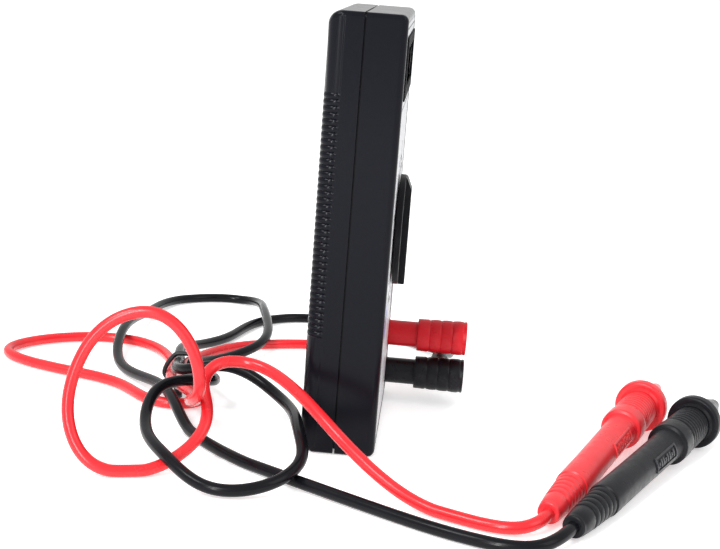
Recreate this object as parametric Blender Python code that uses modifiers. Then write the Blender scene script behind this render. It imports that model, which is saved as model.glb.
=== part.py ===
"""Pocket digital multimeter with two test leads, as an assembly of separate pieces.

Frame: metres, +Z up. The meter stands on its bottom end, its front faces -Y and +X is to the right
of a person who looks at the front. The origin is the middle of the bottom end.
Both leads lie on the surface that the meter stands on.
"""
import math

import bmesh
import bpy
import numpy as np
from mathutils import Matrix, Vector

# ---------------------------------------------------------------- driving dimensions (metres)
CASE_WIDTH = 0.070
CASE_HEIGHT = 0.126
FRONT_Y = -0.009            # front face of the case
BACK_Y = 0.013              # back face of the case
SEAM_Y = 0.0055             # middle of the line between the two case halves
SEAM_GAP = 0.0005
GAP = 0.0003                # between pieces that touch on the real object

FRONT_EDGE_RADIUS = 0.002
BACK_EDGE_RADIUS = 0.004
SIDE_EDGE_RADIUS = 0.0014
FRONT_WALL = 0.002          # thickness of the front plate
SIDE_WALL = 0.0027
REAR_WALL = 0.0018
REAR_SIDE_WALL = 0.002
LIP_THICKNESS = 0.0006      # tongue of the front half that reaches into the rear half
LIP_REACH = 0.0021
LABEL_RECESS = 0.0008
LABEL_MARGIN = 0.0022
LABEL_THICKNESS = 0.0004

RIB_COUNT = 38              # grip ribs on each side of the rear half
RIB_PITCH = 0.00183
RIB_BOTTOM = 0.035
RIB_DEPTH = 0.0007

LCD_WIDTH = 0.058           # opening for the display
LCD_BOTTOM = 0.103
LCD_TOP = 0.119

KNOB_Z = 0.0611
KNOB_RADIUS = 0.01665
KNOB_FRONT_Y = -0.013
KNOB_DISC_THICKNESS = 0.0019
KNOB_BACK_Y = -0.0093
HUB_RADIUS = 0.006
HUB_HOLE_RADIUS = 0.0065
DETENT_COUNT = 20
DETENT_RING_RADIUS = 0.0158

JACK_X = 0.025
JACK_Z = {"com": 0.0098, "volt": 0.0224, "ten_amp": 0.0350}
WELL_RADIUS = 0.0044
WELL_WALL = 0.0011
WELL_BOTTOM_Y = -0.002
SLEEVE_OUTER = 0.0027
SLEEVE_BORE = 0.0022

BOARD_FRONT_Y = -0.0006
BOARD_BACK_Y = 0.0010
BATTERY_TOP = 0.0297

PLUG_PIN_RADIUS = 0.00195
PLUG_BARREL_RADIUS = 0.0041
PLUG_SHOULDER_Y = -0.0183   # where the barrel meets the grip
PLUG_END_Y = -0.0342
RELIEF_Y = -0.0263          # height of the side strain relief along the plug
RELIEF_REACH = 0.0207       # from the plug's axis to the end of the strain relief
RED_RELIEF_DROP = math.atan2(6.4, 20.0)

CORD_DIAMETER = 0.0034
CORD_LEAD = 0.003           # straight stretch at each end of a cord
PROBE_FLANGE_AT = 0.0970    # from the rear end of the probe
PROBE_FLANGE_RADIUS = 0.00815
PROBE_REAR_Z = 0.0039
PROBE_FLANGE_Z = 0.00828    # height of the axis where the flange stands on the surface
PROBE_CONE_END = 0.1168
PROBE_TIP = 0.1198
NEEDLE_RADIUS = 0.0010

SMOOTH_ANGLE = math.radians(35)
MM = 0.001

# Route of each lead over the surface, in millimetres: out of the plug, once or twice through the
# tied bundle behind the meter, and to the rear end of the probe.
RED_ROUTE = [
    (59, -22, 11), (72, -8, 8.2), (78, 12, 2.2), (72, 35, 1.8), (59, 50, 1.8), (44, 56.5, 2.2),
    (21, 55.8, 3.9), (11.5, 50.2, 2.6), (3.5, 46.8, 1.8), (-4.2, 49.5, 1.8), (-6.4, 57, 1.8), (8, 74, 1.8),
    (20, 99, 1.8), (35, 119, 1.8), (60, 100, 1.8), (60, 79, 1.8), (42, 65.5, 2.4), (20, 60.3, 3.9),
    (4, 57.2, 6.4), (-28, 44, 11), (-46, 43, 16), (-57, 39, 23.3), (-58, 41.2, 34), (-57, 52, 43),
    (-58, 64, 39.5), (-61, 72, 27), (-65, 72.5, 13), (-69, 65, 3.5), (-66, 51, 1.8), (-61, 42.5, 5.5),
    (-55, 37.5, 11.5), (-49, 38, 16.5), (-42.5, 40, 21), (-36.5, 37, 24.5), (-34.5, 29.5, 25), (-42, 17, 22.5),
    (-60, 0, 14), (-73, -22, 2.6), (-82, -40, 1.8), (-83.5, -49.5, 2.6),
]
RED_PROBE_REAR = (-75.7, -56.2)
RED_PROBE_HEADING = math.radians(-21.0)
BLACK_ROUTE = [
    (66, -30, 6), (90, -19, 2), (108, 4, 1.8), (115, 26, 1.8), (103, 42, 1.8), (78, 50, 1.8),
    (56, 58.5, 3.6), (38, 60.8, 6.8), (20, 58, 7.7), (6, 56.5, 10), (-5, 51, 12.8), (-8, 39, 15.6),
    (-16, 23, 11.3), (-50, 11.5, 10.3), (-61, 9.8, 7.2), (-73, 17, 3.6), (-76, 32, 2.4), (-67, 45, 6.2),
    (-46, 55.5, 9), (-30, 54, 14.5), (-17, 43.5, 13.4), (0, 44, 9.4), (20, 53.8, 7.5), (38, 51.2, 3.4),
    (61, 37, 4.6), (84, 37, 6.2), (108, 41.5, 5.8), (136, 54, 1.8), (130, 74, 1.8), (98, 84, 3.4),
    (60, 85.5, 5.8), (32, 80, 2), (4, 62.5, 5), (-13, 54, 5.6), (-30, 45.5, 1.8), (-54, 24.5, 1.8),
    (-80, -14, 1.8), (-93, -38, 1.8), (-94.5, -53, 2.4),
]
BLACK_PROBE_REAR = (-83.7, -62.0)
BLACK_PROBE_HEADING = math.radians(-26.8)

# The twisted wire that ties the leads: the four strands that it goes around, seen along X (Y, Z in mm).
TIE_X = 0.020
TIE_STRANDS = [(60.3, 3.9), (58.0, 7.8), (53.8, 7.6), (55.4, 3.8)]
TIE_WIRE_RADIUS = 0.0005

FRONTWARD = Matrix.Rotation(math.radians(90), 4, "X")   # local +Z becomes -Y, out of the front
BACKWARD = Matrix.Rotation(math.radians(-90), 4, "X")   # local +Z becomes +Y, out of the back
RIGHTWARD = Matrix.Rotation(math.radians(90), 4, "Y")   # local +Z becomes +X

for old in list(bpy.data.objects):
    bpy.data.objects.remove(old, do_unlink=True)


def collection(name):
    made = bpy.data.collections.new(name)
    bpy.context.scene.collection.children.link(made)
    return made


PARTS = collection("digital_multimeter")
CUTTERS = collection("cutters")


# ---------------------------------------------------------------- materials
def material(name, colour, roughness, metallic=0.0):
    made = bpy.data.materials.new(name)
    made.use_nodes = True
    shader = made.node_tree.nodes["Principled BSDF"]
    shader.inputs["Base Color"].default_value = (*colour, 1.0)
    shader.inputs["Roughness"].default_value = roughness
    shader.inputs["Metallic"].default_value = metallic
    return made


CASE_BLACK = material("case_black", (0.020, 0.021, 0.025), 0.42)
KNOB_BLACK = material("knob_black", (0.014, 0.014, 0.016), 0.35)
LABEL_SILVER = material("label_silver", (0.72, 0.74, 0.78), 0.30, 0.2)
WINDOW_CLEAR = material("window_clear", (0.03, 0.03, 0.035), 0.08)
LCD_GREEN = material("lcd_green", (0.42, 0.48, 0.38), 0.15)
FRAME_WHITE = material("frame_white", (0.75, 0.75, 0.72), 0.5)
ELASTOMER = material("elastomer", (0.60, 0.35, 0.40), 0.7)
BOARD_GREEN = material("board_green", (0.05, 0.22, 0.10), 0.45)
EPOXY_BLACK = material("epoxy_black", (0.01, 0.01, 0.01), 0.25)
CARRIER_WHITE = material("carrier_white", (0.78, 0.78, 0.76), 0.5)
SPRING_STEEL = material("spring_steel", (0.60, 0.60, 0.60), 0.25, 1.0)
CONTACT_BRASS = material("contact_brass", (0.80, 0.60, 0.25), 0.28, 1.0)
PIN_NICKEL = material("pin_nickel", (0.75, 0.74, 0.70), 0.18, 1.0)
SHUNT_COPPER = material("shunt_copper", (0.70, 0.40, 0.25), 0.30, 1.0)
FUSE_GLASS = material("fuse_glass", (0.85, 0.88, 0.88), 0.05)
SOCKET_BLUE = material("socket_blue", (0.02, 0.06, 0.25), 0.40)
TRIMMER_BLUE = material("trimmer_blue", (0.03, 0.15, 0.45), 0.45)
BATTERY_METAL = material("battery_metal", (0.10, 0.10, 0.12), 0.30, 0.6)
SCREW_STEEL = material("screw_steel", (0.45, 0.45, 0.46), 0.30, 1.0)
CAPACITOR_YELLOW = material("capacitor_yellow", (0.70, 0.42, 0.05), 0.40)
RESISTOR_BLUE = material("resistor_blue", (0.25, 0.45, 0.60), 0.40)
LEAD_RED = material("lead_red", (0.88, 0.030, 0.035), 0.38)
LEAD_BLACK = material("lead_black", (0.020, 0.020, 0.023), 0.38)
TIE_BLACK = material("tie_black", (0.015, 0.015, 0.016), 0.35)


# ---------------------------------------------------------------- modelling helpers
def add_object(name, mesh, finish, matrix=None):
    """An object in the parts collection, or a hidden guide if it has no finish."""
    made = bpy.data.objects.new(name, mesh)
    if matrix is not None:
        made.matrix_world = matrix
    if finish is None:
        CUTTERS.objects.link(made)
        made.hide_render = True
        made.display_type = "WIRE"
    else:
        PARTS.objects.link(made)
        mesh.materials.append(finish)
    return made


def shade(mesh):
    mesh.shade_smooth()
    mesh.set_sharp_from_angle(angle=SMOOTH_ANGLE)


def mesh_from(bm, name):
    mesh = bpy.data.meshes.new(name)
    bm.to_mesh(mesh)
    bm.free()
    return mesh


def add_box(bm, low, high):
    """Add a box between two corners to bm and return its vertices."""
    low, high = Vector(low), Vector(high)
    place = Matrix.Translation((low + high) / 2) @ Matrix.Diagonal((*(high - low), 1.0))
    return bmesh.ops.create_cube(bm, size=1.0, matrix=place)["verts"]


def add_rod(bm, radius, start, end, segments=12):
    """Add a closed cylinder between two points to bm."""
    start, end = Vector(start), Vector(end)
    turn = (end - start).to_track_quat("Z", "Y").to_matrix().to_4x4()
    place = Matrix.Translation((start + end) / 2) @ turn
    bmesh.ops.create_cone(bm, cap_ends=True, segments=segments, radius1=radius, radius2=radius,
                          depth=(end - start).length, matrix=place)


def box(name, low, high, finish=None, bevel=0.0, segments=2):
    """A box about its own centre, with rounded edges if a bevel is given."""
    low, high = Vector(low), Vector(high)
    bm = bmesh.new()
    centre = (low + high) / 2
    add_box(bm, low - centre, high - centre)
    made = add_object(name, mesh_from(bm, name), finish, Matrix.Translation(centre))
    if bevel:
        rounding = made.modifiers.new("rounding", "BEVEL")
        rounding.width = bevel
        rounding.segments = segments
        rounding.limit_method = "ANGLE"
    return made


def rods(name, radius, ends, finish=None, segments=12):
    """Several closed cylinders in one object: cutters, or posts to be joined."""
    bm = bmesh.new()
    for start, end in ends:
        add_rod(bm, radius, start, end, segments)
    return add_object(name, mesh_from(bm, name), finish)


def turned(name, profile, place, finish=None, steps=24, closed=False):
    """A profile of (radius, height) turned about local Z, its outer side given from top to bottom."""
    mesh = bpy.data.meshes.new(name)
    count = len(profile)
    edges = [(i, i + 1) for i in range(count - 1)]
    if closed:
        edges.append((count - 1, 0))
    mesh.from_pydata([(radius, 0.0, height) for radius, height in profile], edges, [])
    made = add_object(name, mesh, finish, place)
    screw = made.modifiers.new("turning", "SCREW")
    screw.steps = steps
    screw.render_steps = steps
    screw.use_merge_vertices = True
    screw.merge_threshold = 0.00001
    screw.use_smooth_shade = True
    return made


def outline(name, points, thickness, place, finish=None):
    """A flat outline in local XY with the thickness centred on it, as a mesh object."""
    curve = bpy.data.curves.new(name, "CURVE")
    curve.dimensions = "2D"
    curve.fill_mode = "BOTH"
    curve.extrude = thickness / 2
    spline = curve.splines.new("POLY")
    spline.points.add(len(points) - 1)
    for point, (x, y) in zip(spline.points, points):
        point.co = (x, y, 0.0, 1.0)
    spline.use_cyclic_u = True
    return curve_to_mesh(name, curve, place, finish)


def tube(name, points, radius, finish=None, resolution=2):
    """A round tube with closed ends along a list of points."""
    curve = bpy.data.curves.new(name, "CURVE")
    curve.dimensions = "3D"
    curve.bevel_depth = radius
    curve.bevel_resolution = resolution
    curve.use_fill_caps = True
    spline = curve.splines.new("POLY")
    spline.points.add(len(points) - 1)
    for point, place in zip(spline.points, points):
        point.co = (*place, 1.0)
    return curve_to_mesh(name, curve, Matrix.Identity(4), finish)


def curve_to_mesh(name, curve, place, finish):
    """Turn a curve into a mesh object with its caps welded on."""
    guide = bpy.data.objects.new(name + "_curve", curve)
    PARTS.objects.link(guide)
    guide.matrix_world = place
    bpy.context.view_layer.update()
    evaluated = guide.evaluated_get(bpy.context.evaluated_depsgraph_get())
    mesh = bpy.data.meshes.new_from_object(evaluated)
    bm = bmesh.new()
    bm.from_mesh(mesh)
    bmesh.ops.remove_doubles(bm, verts=bm.verts, dist=0.000005)
    bmesh.ops.recalc_face_normals(bm, faces=bm.faces)
    bm.to_mesh(mesh)
    bm.free()
    shade(mesh)
    bpy.data.objects.remove(guide, do_unlink=True)
    return add_object(name, mesh, finish, place)


def boolean(target, other, operation):
    modifier = target.modifiers.new(operation.lower() + "_" + other.name, "BOOLEAN")
    modifier.operation = operation
    modifier.object = other
    return target


def cut(target, cutter):
    return boolean(target, cutter, "DIFFERENCE")


def join(target, other):
    return boolean(target, other, "UNION")


def case_block(name, low, high, rounded_y, edge_radius, finish=None, segments=3, side_radius=0.0):
    """A block whose edges around the face at rounded_y, and the four corners behind it, are rounded."""
    bm = bmesh.new()
    add_box(bm, low, high)
    weight = bm.edges.layers.float.new("bevel_weight_edge")
    for edge in bm.edges:
        first, second = (vertex.co for vertex in edge.verts)
        if abs(first.y - rounded_y) < 1e-6 and abs(second.y - rounded_y) < 1e-6:
            edge[weight] = 1.0
        elif abs(first.y - second.y) > 1e-6:
            edge[weight] = side_radius / edge_radius
    made = add_object(name, mesh_from(bm, name), finish)
    rounding = made.modifiers.new("rounding", "BEVEL")
    rounding.width = edge_radius
    rounding.segments = segments
    rounding.limit_method = "WEIGHT"
    return made


def at(x, y, z, turn=None):
    place = Matrix.Translation((x, y, z))
    return place @ turn if turn is not None else place


# ---------------------------------------------------------------- case
HALF_WIDTH = CASE_WIDTH / 2
CASE_SCREW_X = 0.0275
CASE_SCREW_Z = 0.047
BOARD_SCREW_CIRCLE = 0.022
BOARD_SCREWS = [
    (BOARD_SCREW_CIRCLE * math.cos(angle), KNOB_Z + BOARD_SCREW_CIRCLE * math.sin(angle))
    for angle in (math.radians(30), math.radians(150), math.radians(270))
]
SOCKET_X = -0.020
SOCKET_Z = 0.0375
SOCKET_RADIUS = 0.0063
POST_END_Y = 0.0027         # rear end of the posts that take the case screws


def case_screw_places():
    return [(side * CASE_SCREW_X, CASE_SCREW_Z) for side in (-1, 1)]


def build_front_shell():
    """Front half: open box with the jack wells, the detent ring, screw posts and a lip at the seam."""
    edge_y = SEAM_Y - SEAM_GAP / 2
    shell = case_block("front_shell", (-HALF_WIDTH, FRONT_Y, 0), (HALF_WIDTH, edge_y, CASE_HEIGHT),
                       FRONT_Y, FRONT_EDGE_RADIUS, CASE_BLACK, side_radius=SIDE_EDGE_RADIUS)
    inside_x = HALF_WIDTH - SIDE_WALL
    inner_y = FRONT_Y + FRONT_WALL
    cut(shell, box("front_cavity", (-inside_x, inner_y, SIDE_WALL),
                   (inside_x, edge_y + 0.002, CASE_HEIGHT - SIDE_WALL)))
    join(shell, seam_lip(inside_x, edge_y))

    post_start = inner_y - 0.0008
    wells = [((JACK_X, post_start, z), (JACK_X, WELL_BOTTOM_Y, z)) for z in JACK_Z.values()]
    join(shell, rods("jack_well_walls", WELL_RADIUS + WELL_WALL, wells, segments=24))
    case_posts = [((x, post_start, z), (x, POST_END_Y, z)) for x, z in case_screw_places()]
    join(shell, rods("case_screw_posts", 0.0030, case_posts, segments=16))
    board_posts = [((x, post_start, z), (x, BOARD_FRONT_Y - GAP, z)) for x, z in BOARD_SCREWS]
    join(shell, rods("board_screw_posts", 0.0027, board_posts, segments=16))
    join(shell, detent_ring(post_start))

    cut(shell, label_recess())
    cut(shell, front_openings())
    pilots = [((x, -0.0040, z), (x, POST_END_Y + 0.001, z)) for x, z in case_screw_places()]
    pilots += [((x, -0.0062, z), (x, 0.001, z)) for x, z in BOARD_SCREWS]
    cut(shell, rods("screw_pilots", 0.0014, pilots))
    return shell


def seam_lip(inside_x, edge_y):
    """Thin rim inside the seam, which keeps the halves in line."""
    outer = inside_x + GAP
    inner = outer - LIP_THICKNESS
    low_z, high_z = HALF_WIDTH - outer, CASE_HEIGHT - (HALF_WIDTH - outer)
    lip = box("seam_lip", (-outer, edge_y - 0.002, low_z), (outer, edge_y + LIP_REACH, high_z))
    cut(lip, box("lip_inside", (-inner, edge_y - 0.004, low_z + LIP_THICKNESS),
                 (inner, edge_y + LIP_REACH + 0.002, high_z - LIP_THICKNESS)))
    return lip


def detent_ring(start_y):
    """Ring inside the front plate, with a notch for each switch position."""
    high, low = -start_y, 0.0044
    profile = [(0.0175, high), (0.0175, low), (DETENT_RING_RADIUS, low), (DETENT_RING_RADIUS, high)]
    ring = turned("detent_ring", profile, at(0, 0, KNOB_Z, FRONTWARD), steps=40, closed=True)
    notches = []
    for step in range(DETENT_COUNT):
        angle = 2 * math.pi * step / DETENT_COUNT
        x = DETENT_RING_RADIUS * math.cos(angle)
        z = KNOB_Z + DETENT_RING_RADIUS * math.sin(angle)
        notches.append(((x, FRONT_Y + FRONT_WALL + 0.0002, z), (x, -low + 0.001, z)))
    return cut(ring, rods("detent_notches", 0.0006, notches, segments=6))


def label_recess():
    """Shallow pocket in the front face that the label lies in."""
    floor_y = FRONT_Y + LABEL_RECESS
    edge = HALF_WIDTH - LABEL_MARGIN
    return box("label_recess", (-edge, FRONT_Y - 0.002, LABEL_MARGIN),
               (edge, floor_y, CASE_HEIGHT - LABEL_MARGIN))


def front_openings():
    """Openings for the display, the knob's hub, the jacks and the transistor socket."""
    bm = bmesh.new()
    before, behind = FRONT_Y - 0.002, FRONT_Y + FRONT_WALL + 0.002
    add_box(bm, (-LCD_WIDTH / 2, before, LCD_BOTTOM), (LCD_WIDTH / 2, behind, LCD_TOP))
    add_rod(bm, HUB_HOLE_RADIUS, (0, before, KNOB_Z), (0, behind, KNOB_Z), 24)
    for z in JACK_Z.values():
        add_rod(bm, WELL_RADIUS, (JACK_X, before, z), (JACK_X, WELL_BOTTOM_Y + 0.002, z), 24)
    add_rod(bm, SOCKET_RADIUS + GAP, (SOCKET_X, before, SOCKET_Z), (SOCKET_X, behind, SOCKET_Z), 20)
    return add_object("front_openings", mesh_from(bm, "front_openings"), None)


def build_rear_shell():
    """Rear half: shallow tray with grip ribs around its long corners and two deep screw holes."""
    edge_y = SEAM_Y + SEAM_GAP / 2
    shell = case_block("rear_shell", (-HALF_WIDTH, edge_y, 0), (HALF_WIDTH, BACK_Y, CASE_HEIGHT),
                       BACK_Y, BACK_EDGE_RADIUS, CASE_BLACK, side_radius=SIDE_EDGE_RADIUS)
    inner_y = BACK_Y - REAR_WALL
    inside_x = HALF_WIDTH - REAR_SIDE_WALL
    cut(shell, case_block("rear_cavity", (-inside_x, edge_y - 0.002, REAR_SIDE_WALL),
                          (inside_x, inner_y, CASE_HEIGHT - REAR_SIDE_WALL),
                          inner_y, BACK_EDGE_RADIUS - REAR_WALL, segments=2))
    posts = [((x, POST_END_Y + GAP, z), (x, inner_y + 0.0008, z)) for x, z in case_screw_places()]
    join(shell, rods("rear_posts", 0.0040, posts, segments=16))
    wide = [((x, 0.0080, z), (x, BACK_Y + 0.002, z)) for x, z in case_screw_places()]
    cut(shell, rods("screw_head_wells", 0.0029, wide, segments=16))
    narrow = [((x, 0.0010, z), (x, 0.0100, z)) for x, z in case_screw_places()]
    cut(shell, rods("screw_shank_holes", 0.0016, narrow))
    cut(shell, grip_grooves())
    return shell


def grip_grooves():
    """Grooves between the grip ribs, across both rounded corners of the rear half."""
    bm = bmesh.new()
    across = 0.006
    for side in (-1, 1):
        centre = Vector((side * (HALF_WIDTH - BACK_EDGE_RADIUS), BACK_Y - BACK_EDGE_RADIUS, 0))
        outward = Vector((side, 1, 0)).normalized()
        along = Vector((-side, 1, 0)).normalized()
        for index in range(RIB_COUNT + 1):
            z = RIB_BOTTOM + (index - 0.5) * RIB_PITCH
            middle = centre + outward * (BACK_EDGE_RADIUS - RIB_DEPTH + 0.001) + Vector((0, 0, z))
            turn = Matrix((along, outward, Vector((0, 0, 1)))).transposed().to_4x4()
            size = Matrix.Diagonal((across, 0.002, RIB_PITCH * 0.4, 1.0))
            bmesh.ops.create_cube(bm, size=1.0, matrix=Matrix.Translation(middle) @ turn @ size)
    bmesh.ops.recalc_face_normals(bm, faces=bm.faces)
    return add_object("grip_grooves", mesh_from(bm, "grip_grooves"), None)


def build_label():
    """Printed sheet in the recess of the front face, with the same openings."""
    back = FRONT_Y + LABEL_RECESS - GAP
    edge = HALF_WIDTH - LABEL_MARGIN - GAP
    label = box("front_label", (-edge, back - LABEL_THICKNESS, LABEL_MARGIN + GAP),
                (edge, back, CASE_HEIGHT - LABEL_MARGIN - GAP), LABEL_SILVER)
    bm = bmesh.new()
    before, behind = FRONT_Y - 0.002, back + 0.002
    add_box(bm, (-LCD_WIDTH / 2, before, LCD_BOTTOM), (LCD_WIDTH / 2, behind, LCD_TOP))
    add_rod(bm, HUB_HOLE_RADIUS, (0, before, KNOB_Z), (0, behind, KNOB_Z), 24)
    for z in JACK_Z.values():
        add_rod(bm, WELL_RADIUS + GAP, (JACK_X, before, z), (JACK_X, behind, z), 24)
    add_rod(bm, SOCKET_RADIUS + GAP, (SOCKET_X, before, SOCKET_Z), (SOCKET_X, behind, SOCKET_Z), 20)
    cut(label, add_object("label_openings", mesh_from(bm, "label_openings"), None))
    return label


def build_screws():
    """Self-tapping screws: two hold the case halves, three hold the circuit board."""
    for number, (x, z) in enumerate(case_screw_places(), 1):
        screw("case_screw_%d" % number, x, z, seat_y=0.0083, head_radius=0.0025, length=0.0115)
    for number, (x, z) in enumerate(BOARD_SCREWS, 1):
        screw("board_screw_%d" % number, x, z, seat_y=BOARD_BACK_Y + GAP, head_radius=0.0021, length=0.0068)


def screw(name, x, z, seat_y, head_radius, length):
    """Pan-head screw with a cross recess, its head towards the back."""
    shank, head = 0.0011, 0.0015
    profile = [(0, head), (head_radius * 0.6, head), (head_radius, head * 0.55), (head_radius, 0),
               (shank, 0), (shank, 0.0012 - length), (0, -length)]
    made = turned(name, profile, at(x, seat_y, z, BACKWARD), SCREW_STEEL, steps=10)
    top = seat_y + head
    arm, half = head_radius * 0.55, 0.0003
    cut(made, box(name + "_slot_1", (x - arm, top - 0.0008, z - half), (x + arm, top + 0.0010, z + half)))
    cut(made, box(name + "_slot_2", (x - half, top - 0.0007, z - arm), (x + half, top + 0.0011, z + arm)))
    return made


# ---------------------------------------------------------------- display
def build_display():
    """Clear window in the front, and the liquid-crystal cell in its frame behind it."""
    window_half, window_back = LCD_WIDTH / 2 - GAP, -0.0073
    box("lcd_window", (-window_half, FRONT_Y + 0.0002, LCD_BOTTOM + GAP),
        (window_half, window_back, LCD_TOP - GAP), WINDOW_CLEAR)
    cell_half, cell_front, cell_back, cell_low, cell_high = 0.0290, -0.0046, -0.0024, 0.1008, 0.1212
    rim, pocket_gap, view_edge = 0.0020, 0.0004, 0.0020
    frame_front, frame_back = -0.0067, -0.0010
    frame = box("lcd_frame", (-cell_half - rim, frame_front, 0.0995), (cell_half + rim, frame_back, 0.1225),
                FRAME_WHITE)
    cut(frame, box("lcd_frame_view", (-cell_half + view_edge, frame_front - 0.0013, 0.1025),
                   (cell_half - view_edge, cell_front + 0.0006, 0.1195)))
    cut(frame, box("lcd_frame_pocket", (-cell_half - pocket_gap, cell_front - GAP, cell_low - pocket_gap),
                   (cell_half + pocket_gap, frame_back + 0.0020, cell_high + pocket_gap)))
    box("lcd_glass", (-cell_half, cell_front, cell_low), (cell_half, cell_back, cell_high), LCD_GREEN,
        bevel=0.0002, segments=1)
    strip_half = 0.0260
    box("zebra_strip", (-strip_half, cell_back + GAP, cell_low + 0.0004),
        (strip_half, BOARD_FRONT_Y - GAP, cell_low + 0.0024), ELASTOMER)


# ---------------------------------------------------------------- rotary switch
CARRIER_FRONT_Y = -0.0066
CARRIER_BACK_Y = -0.0022
CARRIER_RADIUS = 0.0150
BALL_RADIUS = 0.0014
BALL_AT = 0.0139            # distance of a ball's centre from the knob's axis
BALL_Y = (CARRIER_FRONT_Y + CARRIER_BACK_Y) / 2


def build_knob():
    """Selector knob: a disc, a raised grip bar with one sloping end, and the hub behind."""
    axis = at(0, 0, KNOB_Z, FRONTWARD)
    disc_top = -KNOB_BACK_Y + KNOB_DISC_THICKNESS
    profile = [(0, disc_top), (KNOB_RADIUS - 0.0004, disc_top), (KNOB_RADIUS, disc_top - 0.0004),
               (KNOB_RADIUS, -KNOB_BACK_Y), (HUB_RADIUS, -KNOB_BACK_Y), (HUB_RADIUS, 0.0029), (0, 0.0029)]
    knob = turned("selector_knob", profile, axis, KNOB_BLACK, steps=48)
    top, low = -KNOB_FRONT_Y, disc_top - 0.0005
    side = [(-0.0180, low), (-0.0180, top), (0.0126, top), (0.0158, top - 0.0014), (0.0168, low)]
    # local X of the outline runs up the meter, local Y runs out of the front
    upright = Matrix(((0, 0, 1, 0), (0, -1, 0, 0), (1, 0, 0, KNOB_Z), (0, 0, 0, 1)))
    bar = outline("knob_grip", side, 0.0074, upright)
    rim = turned("knob_grip_round", [(0, 0.02), (KNOB_RADIUS - 0.00005, 0.02), (KNOB_RADIUS - 0.00005, 0.005),
                                     (0, 0.005)], axis, steps=48)
    boolean(bar, rim, "INTERSECT")
    join(knob, bar)
    return knob


def build_switch():
    """Contact carrier that turns with the knob, its wipers, and the sprung balls of the detent."""
    axis = at(0, 0, KNOB_Z, FRONTWARD)
    front, back = -CARRIER_FRONT_Y, -CARRIER_BACK_Y
    bore = HUB_RADIUS + GAP
    profile = [(CARRIER_RADIUS, front), (CARRIER_RADIUS, back), (bore, back), (bore, front)]
    carrier = turned("contact_carrier", profile, axis, CARRIER_WHITE, steps=40, closed=True)
    bores = [((side * 0.0085, BALL_Y, KNOB_Z), (side * 0.0170, BALL_Y, KNOB_Z)) for side in (-1, 1)]
    cut(carrier, rods("ball_bores", BALL_RADIUS + GAP, bores, segments=16))
    for number, side in enumerate((-1, 1), 1):
        ball = bpy.data.meshes.new("detent_ball")
        bm = bmesh.new()
        bmesh.ops.create_uvsphere(bm, u_segments=8, v_segments=6, radius=BALL_RADIUS)
        bm.to_mesh(ball)
        bm.free()
        shade(ball)
        add_object("detent_ball_%d" % number, ball, PIN_NICKEL, at(side * BALL_AT, BALL_Y, KNOB_Z))
        detent_spring("detent_spring_%d" % number, side)
    for number in range(3):
        wiper("wiper_%d" % (number + 1), radius=0.0085 + number * 0.0022, angle=math.radians(90 + 120 * number))


def detent_spring(name, side):
    """Small coil spring that pushes a ball outwards."""
    turns, per_turn, coil = 4, 6, 0.0010
    start, end = 0.0091, BALL_AT - BALL_RADIUS - GAP - 0.0002
    points = []
    for step in range(turns * per_turn + 1):
        angle = 2 * math.pi * step / per_turn
        along = start + (end - start) * step / (turns * per_turn)
        points.append((side * along, BALL_Y + coil * math.cos(angle), KNOB_Z + coil * math.sin(angle)))
    return tube(name, points, 0.0002, SPRING_STEEL, resolution=1)


def wiper(name, radius, angle):
    """Bowed contact strip under the carrier, which slides on the board's tracks."""
    half, sheet = 0.0032, 0.0002
    rise = BOARD_FRONT_Y - CARRIER_BACK_Y - 2 * GAP - sheet
    bow = [(half * t, rise * (1 - t * t)) for t in (-1, -0.6, -0.2, 0.2, 0.6, 1)]
    points = bow + [(x, y + sheet) for x, y in reversed(bow)]
    turn = Matrix.Rotation(-angle, 4, "Y")
    # local X lies along the circle, local Y points to the board, the width lies along the radius
    base = Matrix(((0, 0, 1, radius), (0, 1, 0, CARRIER_BACK_Y + GAP), (-1, 0, 0, 0), (0, 0, 0, 1)))
    return outline(name, points, 0.0012, at(0, 0, KNOB_Z) @ turn @ base, CONTACT_BRASS)


# ---------------------------------------------------------------- circuit board
def build_board():
    """Circuit board: full width at the top, and a narrow strip beside the battery for the jacks."""
    left, right, top, bottom, step_x = -0.0312, 0.0314, 0.1222, 0.0036, 0.0190
    notch = BATTERY_TOP + 0.0006
    points = [(left, notch), (step_x, notch), (step_x, bottom), (right, bottom), (right, top), (left, top)]
    upright = Matrix(((1, 0, 0, 0), (0, 0, -1, (BOARD_FRONT_Y + BOARD_BACK_Y) / 2), (0, 1, 0, 0), (0, 0, 0, 1)))
    board = outline("main_board", points, BOARD_BACK_Y - BOARD_FRONT_Y, upright, BOARD_GREEN)
    before, behind = BOARD_FRONT_Y - 0.002, BOARD_BACK_Y + 0.002
    sleeves = [((JACK_X, before, z), (JACK_X, behind, z)) for z in JACK_Z.values()]
    cut(board, rods("sleeve_holes", SLEEVE_OUTER + GAP, sleeves, segments=16))
    posts = [((x, before, z), (x, behind, z)) for x, z in case_screw_places()]
    cut(board, rods("post_holes", 0.0034, posts, segments=16))
    screws = [((x, before, z), (x, behind, z)) for x, z in BOARD_SCREWS]
    cut(board, rods("board_screw_holes", 0.0014, screws))
    return board


def build_jacks():
    """Brass sleeve of each jack, with a flange on the front of the board."""
    front, flange_back, rear = 0.0016, 0.0009, -0.0090
    for name, z in JACK_Z.items():
        profile = [(0.0046, front), (0.0046, flange_back), (SLEEVE_OUTER, flange_back), (SLEEVE_OUTER, rear),
                   (SLEEVE_BORE, rear), (SLEEVE_BORE, front)]
        turned("jack_sleeve_" + name, profile, at(JACK_X, 0, z, FRONTWARD), CONTACT_BRASS, steps=20, closed=True)


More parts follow.
